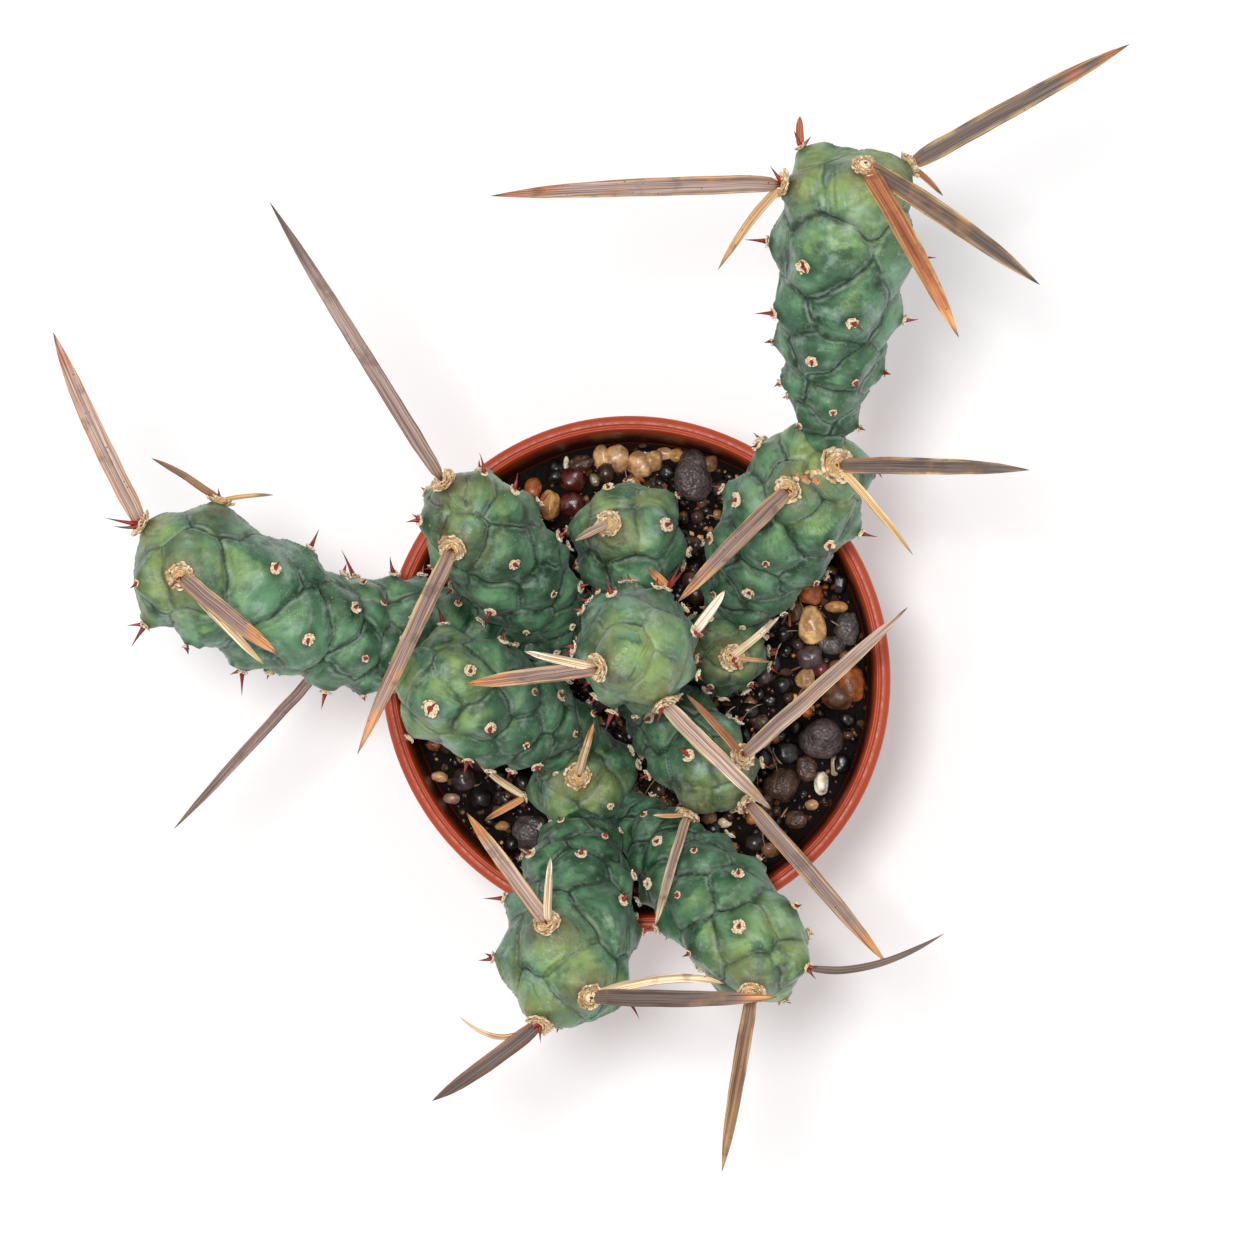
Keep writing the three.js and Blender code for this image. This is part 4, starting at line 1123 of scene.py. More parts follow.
feltSizes = {
    "corky": {"radius": 3.5, "height": 0.7, "flakes": 30, "flake": (0.45, 1.5, 1.3), "bristles": 12},
    "large": {"radius": 2.7, "height": 0.65, "flakes": 22, "flake": (0.40, 1.25, 1.15), "bristles": 12},
    "medium": {"radius": 1.2, "height": 0.38, "flakes": 13, "flake": (0.36, 0.8, 0.7), "bristles": 8},
    "small": {"radius": 0.75, "height": 0.25, "flakes": 9, "flake": (0.28, 0.55, 0.45), "bristles": 7},
}


def seenThornWay(root, normal, px, py):
    flat = place(px, py, root[2]) - root
    reach = np.linalg.norm(flat)
    length = max(reach * 1.06, 2.6)
    rise = math.sqrt(max(length ** 2 - reach ** 2, 0))
    way = flat + np.array([0, 0, rise if normal[2] > -0.3 else -rise])
    return unit(way), length


# a broad areole: pale ragged flakes standing round and on a golden cushion
def addBroadFelt(cluster, top, normal, radius, form, crowns, draw):
    addFeltPad(cluster, top, normal, radius * 0.94, form["height"], "golden")
    for share, lift, lean, count in ((1.0, 0.25, 0.85, form["flakes"]),
                                     (0.74, 0.6, 0.45, form["flakes"] - 5),
                                     (0.44, 0.75, 0.1, form["flakes"] // 2))[:crowns]:
        flake = np.array(form["flake"]) * (0.75 + 0.25 * share)
        addCrown(cluster, top + normal * lift, normal, radius * share, count, flake, lean,
                 ("cream", "cream", "straw", "golden", "tan"), draw)


# a small areole: an open ring of cream felt round a red brown middle
def addFeltRing(cluster, top, normal, radius, form, draw):
    addFeltPad(cluster, top, normal, radius * 0.92, form["height"], "cream")
    addCrown(cluster, top + normal * 0.2, normal, radius * 0.95, form["flakes"], form["flake"], 0.8,
             ("cream", "white", "cream", "straw"), draw, opening=0.8)
    addFeltPad(cluster, top + normal * form["height"] * 0.62, normal, radius * 0.45,
               form["height"] * 0.6, "brown")


# an areole that shows its rings: a pale eye with a black dot inside curled golden rims
def addRings(cluster, top, normal, radius, draw):
    for share, lift in ((0.84, 0.5), (0.66, 0.6)):
        addCrown(cluster, top + normal * lift, normal, radius * share, 22, (0.24, 0.95, 0.55), 0.1,
                 ("golden", "tan", "cream"), draw)
    addFeltPad(cluster, top + normal * 0.75, normal, radius * 0.5, 0.45, "cream")
    addFeltPad(cluster, top + normal * 1.14, normal, radius * 0.15, 0.16, "black")


def dressAreole(cluster, stem, one, draw):
    form = feltSizes[one["size"]]
    top = one["point"] + one["normal"] * peakAt(stem, one["t"])
    normal = one["normal"]
    big = one["size"] in ("large", "corky")
    radius = one.get("ring", form["radius"])
    if big:
        addBroadFelt(cluster, top, normal, radius, form, 1 if one.get("rings") else 3, draw)
    else:
        addFeltRing(cluster, top, normal, radius, form, draw)
    if one.get("rings"):
        addRings(cluster, top, normal, radius, draw)
    if not one["crowded"] or "at" in one:
        addBristles(cluster, top, normal, radius, form["bristles"], 1.3 if big else 0.9, draw)
    thick = 1.6 if big else 1.45
    for px, py in one.get("thorns", ()):
        way, length = seenThornWay(top, normal, px, py)
        addThorn(cluster, top - normal * 0.2, way, length, thick, draw)
    if "thorns" not in one and "blades" not in one and not one["crowded"]:
        lean = draw.uniform(-0.45, 0.45, 3)
        length = (2.8 if one["size"] == "medium" else 1.9) * draw.uniform(0.75, 1.25)
        addThorn(cluster, top - normal * 0.2, unit(normal + lean), length, thick, draw)
        if draw.random() < 0.5:
            lean = draw.uniform(-0.9, 0.9, 3)
            addThorn(cluster, top - normal * 0.1, unit(normal + lean), length * 0.6, thick * 0.7, draw,
                     "rust")
    if big and not one["crowded"]:
        for _ in range(2):
            lean = draw.uniform(-1.0, 1.0, 3)
            addThorn(cluster, top, unit(normal + lean), draw.uniform(1.4, 2.4), 0.9, draw, "red")
    for blade in one.get("blades", ()):
        addBlade(cluster, stem, one, blade, draw)


# cork on the skin of the forked segment, from its large areole to its neck
def addCork(cluster, stem, draw):
    for px, py in stem.get("cork", ()):
        for _ in range(5):
            spots, normals, ats = sight(stem, px + draw.uniform(-6, 6), py + draw.uniform(-6, 6))
            at = spots[0] + normals[0] * (swellings(stem, spots, ats)["height"][0] + 0.1)
            first, second = aboutNormal(normals[0])
            turn = draw.uniform(0, 6.28)
            way = math.cos(turn) * first + math.sin(turn) * second
            size = (draw.uniform(1.1, 2.4), draw.uniform(0.8, 1.7), draw.uniform(0.5, 0.9))
            tone = ("golden", "orange", "tan", "cream")[int(draw.integers(4))]
            addFlake(cluster, at, way, normals[0], size, draw, tone)


def addTufts(cluster, stem, draw):
    for px, py in stem.get("tufts", ()):
        spots, normals, ats = sight(stem, px, py)
        root = spots[0] + normals[0] * swellings(stem, spots, ats)["height"][0]
        addBristles(cluster, root, normals[0], 0.5, 9, 1.5, draw)


def makeArmour(stem, materials):
    draw = np.random.default_rng(len(stem["name"]) * 977 + 13)
    cluster = Cluster()
    for one in stem["sites"]:
        if not one["buried"]:
            dressAreole(cluster, stem, one, draw)
    addCork(cluster, stem, draw)
    addTufts(cluster, stem, draw)
    if len(cluster.shape.faces):
        cluster.finish(stem["name"] + "_spines", materials)


armourLook = {
    "fibreDark": colour(0.46, 0.38, 0.34),
    "fibrePale": colour(1.28, 1.26, 1.24),
    "blotch": colour(0.075, 0.040, 0.028),
    "warm": colour(0.52, 0.24, 0.09),
    "specks": colour(0.09, 0.03, 0.02),
    "feltDark": colour(0.45, 0.28, 0.17),
    "thornDark": colour(0.45, 0.35, 0.35),
    "bristleDark": colour(0.7, 0.6, 0.5),
}


def paperFinish():
    material, tree, surface = newFinish("papery spine", 0.5)
    across, along = storedValue(tree, "across"), storedValue(tree, "along")

    # fibres that run the whole length of a blade
    def fibres(fine, long, offset):
        where = newNode(tree, "CombineXYZ",
                        {"X": times(tree, across, fine), "Y": times(tree, along, long), "Z": offset})
        return newNode(tree, "TexNoise",
                       {"Vector": where.outputs[0], "Scale": 1.0, "Detail": 1.5}).outputs["Fac"]

    streak, band = fibres(4.6, 0.035, 0.0), fibres(1.7, 0.02, 3.0)
    tint = storedColour(tree, "tint")
    dark = blendColours(tree, 1.0, tint, armourLook["fibreDark"], "MULTIPLY")
    pale = blendColours(tree, 1.0, tint, armourLook["fibrePale"], "MULTIPLY")
    paint = blendColours(tree, spread(tree, streak, 0.36, 0.62), dark, pale)
    paint = blendColours(tree, times(tree, spread(tree, band, 0.52, 0.68), 0.6), paint, dark)
    where = objectPlace(tree)
    blotch = times(tree, spread(tree, noise(tree, where, 8, 4, 0.6), 0.55, 0.68), 0.5)
    paint = blendColours(tree, blotch, paint, armourLook["blotch"])
    warm = times(tree, spread(tree, noise(tree, where, 11, 3, 0.6), 0.56, 0.70), 0.30)
    paint = blendColours(tree, warm, paint, armourLook["warm"])
    specks = newNode(tree, "TexVoronoi", {"Vector": where, "Scale": 420}).outputs["Distance"]
    paint = blendColours(tree, times(tree, spread(tree, specks, 0.12, 0.05), 0.7), paint,
                         armourLook["specks"])
    useColour(tree, surface, paint)
    surface.inputs["Specular IOR Level"].default_value = 0.4
    bumpFrom(tree, surface, streak, 0.22, 0.7)
    return material


def feltFinish():
    material, tree, surface = newFinish("areole felt", 0.85)
    where = objectPlace(tree)
    grain = noise(tree, where, 0.5, 4, 0.7)
    tint = storedColour(tree, "tint")
    dark = blendColours(tree, 1.0, tint, armourLook["feltDark"], "MULTIPLY")
    useColour(tree, surface, blendColours(tree, spread(tree, grain, 0.34, 0.5), dark, tint))
    surface.inputs["Sheen Weight"].default_value = 0.3
    bumpFrom(tree, surface, grain, 0.25, 1.0)
    return material


def thornFinish():
    material, tree, surface = newFinish("red thorn", 0.4)
    grain = noise(tree, objectPlace(tree), 0.8, 3)
    tint = storedColour(tree, "tint")
    dark = blendColours(tree, 1.0, tint, armourLook["thornDark"], "MULTIPLY")
    useColour(tree, surface, blendColours(tree, spread(tree, grain, 0.3, 0.65), dark, tint))
    bumpFrom(tree, surface, grain, 0.1, 0.5)
    return material


def bristleFinish():
    material, tree, surface = newFinish("straw bristle", 0.6)
    grain = noise(tree, objectPlace(tree), 1.0, 2)
    tint = storedColour(tree, "tint")
    dark = blendColours(tree, 1.0, tint, armourLook["bristleDark"], "MULTIPLY")
    useColour(tree, surface, blendColours(tree, grain, dark, tint))
    return material


stemSkin = skinFinish()
armourMaterials = [paperFinish(), feltFinish(), thornFinish(), bristleFinish()]
for oneStem in stems:
    makeSkin(oneStem, stemSkin)
print("stem skins made")
for oneStem in stems:
    makeArmour(oneStem, armourMaterials)
print("spines, thorns and areoles made")

# the pot


def wallRadius(z):
    share = z / (pot["height"] - pot["collarHeight"])
    return pot["baseRadius"] + (pot["rimRadius"] - pot["lipWidth"] - 2.2 - pot["baseRadius"]) * share


# presses the pot and its fill a little out of round, more towards the rim
def pressed(points):
    rise = smoothShare(points[:, 2], pot["height"] * 0.3, pot["height"])
    turn = np.arctan2(points[:, 1], points[:, 0])
    radius = np.hypot(points[:, 0], points[:, 1])
    radius = radius * (1 + pot["ovalShare"] * rise * np.cos(2 * (turn - pot["ovalTurn"])))
    return np.stack([radius * np.cos(turn), radius * np.sin(turn), points[:, 2]], axis=1)


# rounds the corners of a section: each corner is (radius, z, rounding)
def roundedSection(corners, steps=4):
    made = []
    for i, (r, z, rounding) in enumerate(corners):
        here = np.array([r, z], float)
        if rounding <= 0 or i in (0, len(corners) - 1):
            made.append(here)
            continue
        before, after = (np.array(corners[j][:2], float) for j in (i - 1, i + 1))
        first = here + unit(before - here) * min(rounding, 0.45 * np.linalg.norm(before - here))
        last = here + unit(after - here) * min(rounding, 0.45 * np.linalg.norm(after - here))
        for k in range(steps + 1):
            s = k / steps
            made.append(first * (1 - s) ** 2 + here * 2 * s * (1 - s) + last * s ** 2)
    return made


def potSection():
    step, top, rim = pot["height"] - pot["collarHeight"], pot["height"], pot["rimRadius"]
    collar, inside = rim - 1.6, rim - pot["lipWidth"]
    lip = top - pot["lipHeight"]
    return roundedSection([
        (0, 0, 0), (pot["baseRadius"] - 3, 0, 0), (pot["baseRadius"], 0, 1.2), (wallRadius(30), 30, 0),
        (wallRadius(60), 60, 0), (wallRadius(step), step, 0.6), (collar - 0.8, step + 0.8, 0.8),
        (collar - 0.3, top - 9, 0), (collar, lip, 0.3), (rim, lip + 0.5, 0.5), (rim, top - 0.9, 0.9),
        (rim - 0.9, top, 0.6), (rim - 2.1, top, 0.3), (rim - 2.35, top - 0.28, 0.15),
        (rim - 2.7, top - 0.28, 0.15),
        (rim - 2.9, top - 0.05, 0.2), (inside + 0.5, top - 0.1, 0.4), (inside, top - 1.1, 0.5),
        (inside - 0.35, top - 5, 0), (pot["collarInside"], step + 1.4, 0.6),
        (wallRadius(step) - pot["wall"], step - 0.6, 0.8), (wallRadius(30) - pot["wall"], 30, 0),
        (wallRadius(pot["floor"]) - pot["wall"], pot["floor"], 0.8),
        (pot["baseRadius"] * 0.6, pot["floor"], 0),
        (0, pot["floor"], 0),
    ])


# a section spun all the way round the z axis
def spunMesh(name, section, steps):
    def make(shape):
        corners = [shape.verts.new((r, 0, z)) for r, z in section]
        edges = [shape.edges.new(pair) for pair in zip(corners[:-1], corners[1:])]
        bmesh.ops.spin(shape, geom=corners + edges, cent=(0, 0, 0), axis=(0, 0, 1), angle=2 * math.pi,
                       steps=steps, use_merge=True)
        bmesh.ops.remove_doubles(shape, verts=shape.verts, dist=1e-4)
        bmesh.ops.recalc_face_normals(shape, faces=shape.faces)
    return shapeMesh(name, make)


def drainCutter():
    def make(shape):
        for i in range(pot["holes"]):
            turn = i / pot["holes"] * 2 * math.pi
            x, y = math.cos(turn) * pot["holeCircle"], math.sin(turn) * pot["holeCircle"]
            bmesh.ops.create_cone(shape, cap_ends=True, segments=32, radius1=pot["holeRadius"],
                                  radius2=pot["holeRadius"], depth=pot["floor"] * 4,
                                  matrix=Matrix.Translation((x, y, 0)))
    mesh = shapeMesh("drain cutter", make, smooth=False)
    mesh.transform(Matrix.Scale(toMetres, 4))
    cutter = bpy.data.objects.new("drain_cutter", mesh)
    bpy.context.scene.collection.objects.link(cutter)
    return cutter


# applies an object's modifiers to its mesh
def applyModifiers(made):
    bpy.context.view_layer.update()
    finished = bpy.data.meshes.new_from_object(made.evaluated_get(bpy.context.evaluated_depsgraph_get()))
    made.modifiers.clear()
    made.data = finished


potLook = {
    "shades": (colour(0.36, 0.040, 0.008), colour(0.41, 0.052, 0.013)),
    "scuff": colour(0.60, 0.20, 0.11),
    # the dark colour inside the wall, partly painted shade and partly dirt
    "dirtAndShade": colour(0.020, 0.005, 0.003),
    "flecks": colour(0.10, 0.035, 0.02),
    "dirtAndShadeHeights": (0.1015, 0.0950),  # clean above the first, darkened below the second
    "dirtAndShadeFoot": (0.0868, 0.0876),  # the ledge, which the darkening doesn't pass
    "dirtAndShadeRadii": (0.0572, 0.0562),  # from the outside in
}


def potFinish():
    material, tree, surface = newFinish("terracotta coloured plastic", 0.42)
    where = objectPlace(tree)
    cloud, grain = noise(tree, where, 26, 3), noise(tree, where, 1.4, 4, 0.7)
    paint = blendColours(tree, spread(tree, cloud, 0.35, 0.65), *potLook["shades"])
    # scuffs run round the pot
    ring = newNode(tree, "SeparateXYZ", {0: where})
    radial = newNode(tree, "CombineXYZ", {
        "X": ring.outputs["X"], "Y": ring.outputs["Y"], "Z": times(tree, ring.outputs["Z"], 14.0)})
    scuff = spread(tree, noise(tree, radial.outputs[0], 9, 6, 0.7), 0.60, 0.74)
    paint = blendColours(tree, times(tree, scuff, 0.16), paint, potLook["scuff"])
    # the inner wall darkens towards the soil, partly painted shade and partly dirt, and flecks lie on the
    # lip
    dirtAndShade = maths(tree, "ADD", ring.outputs["Z"], times(tree, noise(tree, where, 6, 5, 0.7), 0.006))
    dirtAndShade = times(tree, spread(tree, dirtAndShade, *potLook["dirtAndShadeHeights"]),
                 spread(tree, ring.outputs["Z"], *potLook["dirtAndShadeFoot"]))
    inner = newNode(tree, "VectorMath", {0: where, 1: (1, 1, 0)}, operation="MULTIPLY")
    reach = newNode(tree, "VectorMath", {0: inner.outputs[0]}, operation="LENGTH").outputs["Value"]
    dirtAndShade = times(tree, dirtAndShade, spread(tree, reach, *potLook["dirtAndShadeRadii"]))
    paint = blendColours(tree, times(tree, dirtAndShade, 0.93), paint, potLook["dirtAndShade"])
    flecks = newNode(tree, "TexVoronoi", {"Vector": where, "Scale": 240}).outputs["Distance"]
    flecks = times(tree, spread(tree, flecks, 0.10, 0.04),
                   spread(tree, noise(tree, where, 5, 2), 0.52, 0.6))
    paint = blendColours(tree, times(tree, flecks, 0.7), paint, potLook["flecks"])
    useColour(tree, surface, paint)
    tree.links.new(spread(tree, grain, 0.3, 0.7, 0.33, 0.52), surface.inputs["Roughness"])
    surface.inputs["Specular IOR Level"].default_value = 0.35
    bumpFrom(tree, surface, grain, 0.06, 0.6)
    return material


def makePot():
    mesh = spunMesh("pot_shell", potSection(), pot["steps"])
    setPoints(mesh, pressed(pointsOf(mesh)))
    made = addObject("pot_shell", mesh, [potFinish()], ["pot"])
    cutter = drainCutter()
    cut = made.modifiers.new("drain holes", "BOOLEAN")
    cut.operation, cut.object, cut.solver = "DIFFERENCE", cutter, "EXACT"
    applyModifiers(made)
    bpy.data.objects.remove(cutter)


makePot()
print("pot made")

# the soil and its stones

stoneTones = {
    "lava": (0.045, 0.033, 0.034), "black": (0.009, 0.007, 0.007), "darkbrown": (0.050, 0.026, 0.017),
    "brown": (0.17, 0.082, 0.042), "tan": (0.54, 0.33, 0.17), "ochre": (0.48, 0.25, 0.085),
    "yellowtan": (0.66, 0.42, 0.19), "orange": (0.46, 0.14, 0.04), "white": (0.78, 0.72, 0.62),
    "cream": (0.66, 0.55, 0.38), "darkred": (0.085, 0.014, 0.012), "grey": (0.062, 0.053, 0.050),
    "purple": (0.060, 0.038, 0.042), "pink": (0.42, 0.25, 0.19), "olive": (0.18, 0.14, 0.07),
}

# rough kinds with the number and depth of their pits
roughKinds = {"lava": (120, 0.045), "darkbrown": (60, 0.05), "grey": (60, 0.03)}

# each pebble by its middle, its width and height in the picture, and its kind
pebbles = [
    (812, 594, 23, 22, "orange"), (839, 583, 15, 20, "black"), (836, 607, 22, 11, "ochre"),
    (812, 627, 26, 37, "yellowtan"), (853, 627, 23, 32, "grey"), (797, 612, 15, 20, "brown"),
    (831, 645, 26, 18, "grey"), (810, 657, 26, 22, "purple"), (838, 667, 18, 14, "brown"),
    (806, 679, 19, 17, "tan"), (839, 696, 30, 25, "brown"), (859, 684, 26, 34, "orange"),
    (822, 739, 42, 37, "lava"), (789, 753, 27, 22, "black"), (807, 769, 20, 24, "darkbrown"),
    (782, 785, 34, 36, "darkbrown"), (821, 783, 13, 22, "white"), (835, 766, 8, 19, "cream"),
    (846, 766, 16, 18, "black"), (440, 777, 16, 11, "tan"), (451, 799, 16, 10, "pink"),
    (481, 799, 23, 23, "black"), (464, 780, 24, 22, "purple"), (503, 826, 14, 10, "ochre"),
    (530, 832, 34, 32, "lava"), (601, 451, 17, 22, "tan"), (617, 452, 24, 27, "tan"),
    (640, 464, 24, 25, "tan"), (653, 461, 18, 20, "yellowtan"), (694, 472, 39, 50, "lava"),
    (667, 473, 14, 15, "black"), (665, 443, 16, 12, "tan"), (677, 456, 14, 13, "ochre"),
    (572, 480, 26, 24, "darkred"), (553, 460, 15, 20, "black"), (563, 453, 6, 14, "white"),
    (580, 458, 24, 16, "darkbrown"), (646, 442, 20, 12, "black"), (595, 480, 10, 13, "olive"),
    (632, 482, 18, 12, "orange"), (533, 489, 16, 20, "orange"), (550, 506, 20, 28, "ochre"),
    (572, 504, 24, 22, "darkred"), (760, 722, 18, 15, "darkbrown"), (716, 446, 18, 16, "brown"),
    (796, 820, 20, 17, "darkbrown"), (770, 700, 14, 12, "black"), (848, 720, 16, 14, "black"),
    (770, 850, 16, 14, "brown"), (435, 745, 14, 12, "orange"), (812, 805, 13, 11, "tan"),
]

groundForm = {
    "stones": 900, "stoneSizes": (2.4, 5.4),
    "grains": 2300, "grainSizes": (0.8, 2.3),
    "slivers": 110, "threads": 30,
}

# pale root threads that show in the picture, each by its two ends and a place that it passes
seenThreads = [((765, 703), (738, 737), (746, 714)), ((737, 706), (726, 720), (729, 711)),
               ((748, 762), (756, 790), (757, 776)),
               ((783, 640), (777, 668), (776, 655)), ((829, 620), (847, 634), (839, 626)),
               ((777, 634), (800, 631), (789, 631))]


def soilHeight(x, y):
    broad = 0.7 * np.sin(x * 0.21 + 1.3) * np.cos(y * 0.17)
    return soil["top"] + broad + 0.4 * np.sin(x * 0.45 + y * 0.38)


def makeSoil(material):
    step = pot["height"] - pot["collarHeight"]
    top, bottom = pot["collarInside"] - soil["gap"], pot["floor"] + soil["gap"]

    def edge(z):
        return wallRadius(z) - pot["wall"] - soil["gap"]

    section = np.array([
        (0, soil["top"]), (top - 0.8, soil["top"]), (top, soil["top"] - 0.8), (top, step + 2.2),
        (edge(step - 1) - 0.3, step - 1), (edge(bottom) - 0.4, bottom), (0, bottom)])
    share = np.array([0, 0.80, 0.82, 0.83, 0.84, 0.93, 1.0])  # most rings lie on the top
    mesh = ballMesh("soil_fill", soil["around"], soil["rings"])
    turn, down = ballTurns(pointsOf(mesh))
    radius, z = np.interp(down, share, section[:, 0]), np.interp(down, share, section[:, 1])
    points = np.stack([radius * np.cos(turn), radius * np.sin(turn), z], axis=1)
    onTop = smoothShare(down, 0.815, 0.79)
    flat = points * (1, 1, 0)
    bumps = 0.35 * ripple(flat, 5, 3) + 0.28 * np.abs(ripple(flat, 2.2, 4))
    bumps += 0.16 * ripple(flat, 1.1, 5)
    points[:, 2] += onTop * (soilHeight(points[:, 0], points[:, 1]) - soil["top"] - 0.2 + bumps)
    setPoints(mesh, pressed(points))
    return addObject("soil_fill", mesh, [material], ["soil"])


# a stone: a ball made uneven by waves, with small pits all over where it is rough
def stonePoints(template, middle, size, turn, seed, squareness=1.0, pits=0, depth=0.0):
    ball = pointsOf(template)
    ways = ball / np.linalg.norm(ball, axis=1)[:, None]
    ball = np.sign(ball) * np.abs(ball) ** squareness
    grow = 1 + 0.11 * ripple(ball, 1.9, seed) + 0.06 * ripple(ball, 0.9, seed + 1)
    if pits:
        draw = np.random.default_rng(seed + 2)
        spots = draw.normal(size=(pits, 3))
        spots /= np.linalg.norm(spots, axis=1)[:, None]
        wide = draw.uniform(0.07, 0.17, pits)
        apart = np.linalg.norm(ways[:, None] - spots[None], axis=2) / wide
        grow -= depth * np.exp(-apart ** 2).max(axis=1)
    shaped = ball * grow[:, None] * np.array(size) / 2
    c, s = math.cos(turn), math.sin(turn)
    turned = np.stack([shaped[:, 0] * c - shaped[:, 1] * s, shaped[:, 0] * s + shaped[:, 1] * c,
                       shaped[:, 2]], axis=1)
    return turned + middle


def stoneTint(kind, count, draw, vary=0.2):
    tone = np.array(stoneTones[kind]) * draw.uniform(1 - vary, 1 + vary)
    return np.broadcast_to(tone, (count, 3))


def makePebbles(material):
    draw = np.random.default_rng(41)
    template = stoneMesh("pebble", 4)
    cluster = Cluster()
    perPixel = (eye[2] - soil["top"]) / photo["focal"]
    for i, (px, py, wide, tall, kind) in enumerate(pebbles):
        at = place(px, py, soil["top"])
        width, depth = wide * perPixel, tall * perPixel
        height = 0.74 * math.sqrt(width * depth)
        limit = pot["collarInside"] - soil["gap"] - 0.5 * max(width, depth)
        at = at * min(1, limit / np.hypot(at[0], at[1]))
        middle = np.array([at[0], at[1], soilHeight(at[0], at[1]) + height * 0.2])
        pits, pitDepth = roughKinds.get(kind, (0, 0))
        points = stonePoints(template, middle, (width * 1.05, depth * 1.05, height), 0, 100 + i * 9,
                             draw.uniform(0.82, 1.0), pits, pitDepth)
        cluster.add(template, points, stoneTint(kind, len(points), draw, 0.08),
                    1 if kind in roughKinds else 0)
    return cluster.finish("soil_pebbles", material)


def openGround(count, draw, margin):
    radius = (pot["collarInside"] - margin) * np.sqrt(draw.random(count))
    turn = draw.uniform(0, 2 * math.pi, count)
    x, y = radius * np.cos(turn), radius * np.sin(turn)
    points = np.stack([x, y, soilHeight(x, y)], axis=1)
    free = np.ones(count, bool)
    for stem in stems:
        free &= outsideBy(stem, points) > -0.5
    return points[free]


# the middles and radii of the seen pebbles, on the soil
def pebblePlaces():
    perPixel = (eye[2] - soil["top"]) / photo["focal"]
    middles = np.array([place(px, py, soil["top"])[:2] for px, py, *_ in pebbles])
    return middles, np.array([(wide + tall) / 4 * perPixel for _, _, wide, tall, _ in pebbles])


# how often each kind of small stone comes
gritChances = {
    "black": 0.30, "darkbrown": 0.25, "lava": 0.13, "grey": 0.03, "brown": 0.11, "purple": 0.03,
    "orange": 0.04, "tan": 0.04, "cream": 0.015, "ochre": 0.035, "darkred": 0.02,
}


def makeGrit(materials):
    draw = np.random.default_rng(77)
    middles, radii = pebblePlaces()
    stone, grain = ballMesh("small stone", 8, 5), stoneMesh("grain", 1)
    kinds, chances = tuple(gritChances), np.array(list(gritChances.values()))
    cluster = Cluster()
    for template, count, sizes in ((stone, groundForm["stones"], groundForm["stoneSizes"]),
                                   (grain, groundForm["grains"], groundForm["grainSizes"])):
        for i, point in enumerate(openGround(count, draw, sizes[1] * 0.55)):
            if (np.hypot(*(middles - point[:2]).T) < radii + 0.2 * sizes[1]).any():
                continue
            kind = kinds[int(draw.choice(len(kinds), p=chances / chances.sum()))]
            size = draw.uniform(*sizes) * (1 if kind in ("black", "darkbrown", "lava") else 0.75)
            shape = size * draw.uniform(0.65, 1.15, 3)
            middle = point + (0, 0, shape[2] * 0.18)
            points = stonePoints(template, middle, shape, draw.uniform(0, 6.28), i * 5, 0.85)
            cluster.add(template, points, stoneTint(kind, len(points), draw, 0.3))
    return cluster.finish("soil_grit", materials)


def addThread(cluster, root, bend, tip, draw):
    points, s, _, _ = sweep(thornShape, root, bend, tip, 0.34, 0.34,
                            shares=([0, 0.05, 1], [0.5, 1, 0.4]))
    cluster.add(thornShape, points, np.array(tones["straw"]) * draw.uniform(0.55, 0.95), 0,
                along=s * 10)


# the far end of something that lies on the soil, kept inside the wall
def lyingTip(root, way, length):
    tip = root + way * length
    tip[:2] *= min(1, (pot["collarInside"] - 1.5) / np.hypot(tip[0], tip[1]))
    return tip


# slivers of bark and straw, and fine root threads lying on the soil
def makeLitter(materials):
    draw = np.random.default_rng(5)
    cluster = Cluster()
    sliverShares = ([0, 0.08, 0.3, 0.7, 0.92, 1], [0, 0.7, 1, 0.9, 0.5, 0])
    slivers = openGround(groundForm["slivers"], draw, 5)
    for point in slivers:
        turn, length = draw.uniform(0, 6.28), draw.uniform(2, 6.5)
        way = np.array([math.cos(turn), math.sin(turn), draw.uniform(-0.1, 0.25)])
        root = point + (0, 0, 0.7)
        tip = lyingTip(root, way, length)
        points, s, _, across = sweep(thornShape, root, (root + tip) / 2 + (0, 0, 0.4), tip,
                                     draw.uniform(0.5, 1.5),
                                     draw.uniform(0.3, 0.6), twist=draw.uniform(-1, 1),
                                     shares=sliverShares)
        tone = tones[("brown", "rust", "tan", "straw", "brown")[int(draw.integers(5))]]
        cluster.add(thornShape, points, np.array(tone) * draw.uniform(0.4, 1.0), 0, across=across,
                    along=s * length)
    for point in openGround(groundForm["threads"] * 2, draw, 9)[:groundForm["threads"]]:
        turn, length = draw.uniform(0, 6.28), draw.uniform(5, 13)
        way = np.array([math.cos(turn), math.sin(turn), 0.0])
        root = point + (0, 0, 0.9)
        tip = lyingTip(root, way, length)
        side = np.cross(way, (0, 0, 1)) * draw.uniform(-0.35, 0.35) * length
        addThread(cluster, root, (root + tip) / 2 + side + (0, 0, 1.2), tip, draw)
    for start, end, passed in seenThreads:
        root, tip, over = (place(*seen, soil["top"] + lift) for seen,
                           lift in ((start, 2.2), (end, 2.2), (passed, 3.6)))
        addThread(cluster, root, 2 * over - (root + tip) / 2, tip, draw)
    return cluster.finish("soil_litter", materials)


groundLook = {
    "soilDark": colour(0.002, 0.0014, 0.001),
    "soilPale": colour(0.010, 0.005, 0.0035),
    "barkCrumbs": colour(0.20, 0.09, 0.035),
    "stoneDark": colour(0.55, 0.46, 0.40),
    "stonePale": colour(1.45, 1.38, 1.30),
    "lavaPale": colour(2.3, 2.1, 2.0),
    "lavaPitShade": colour(0.008, 0.006, 0.008),
}


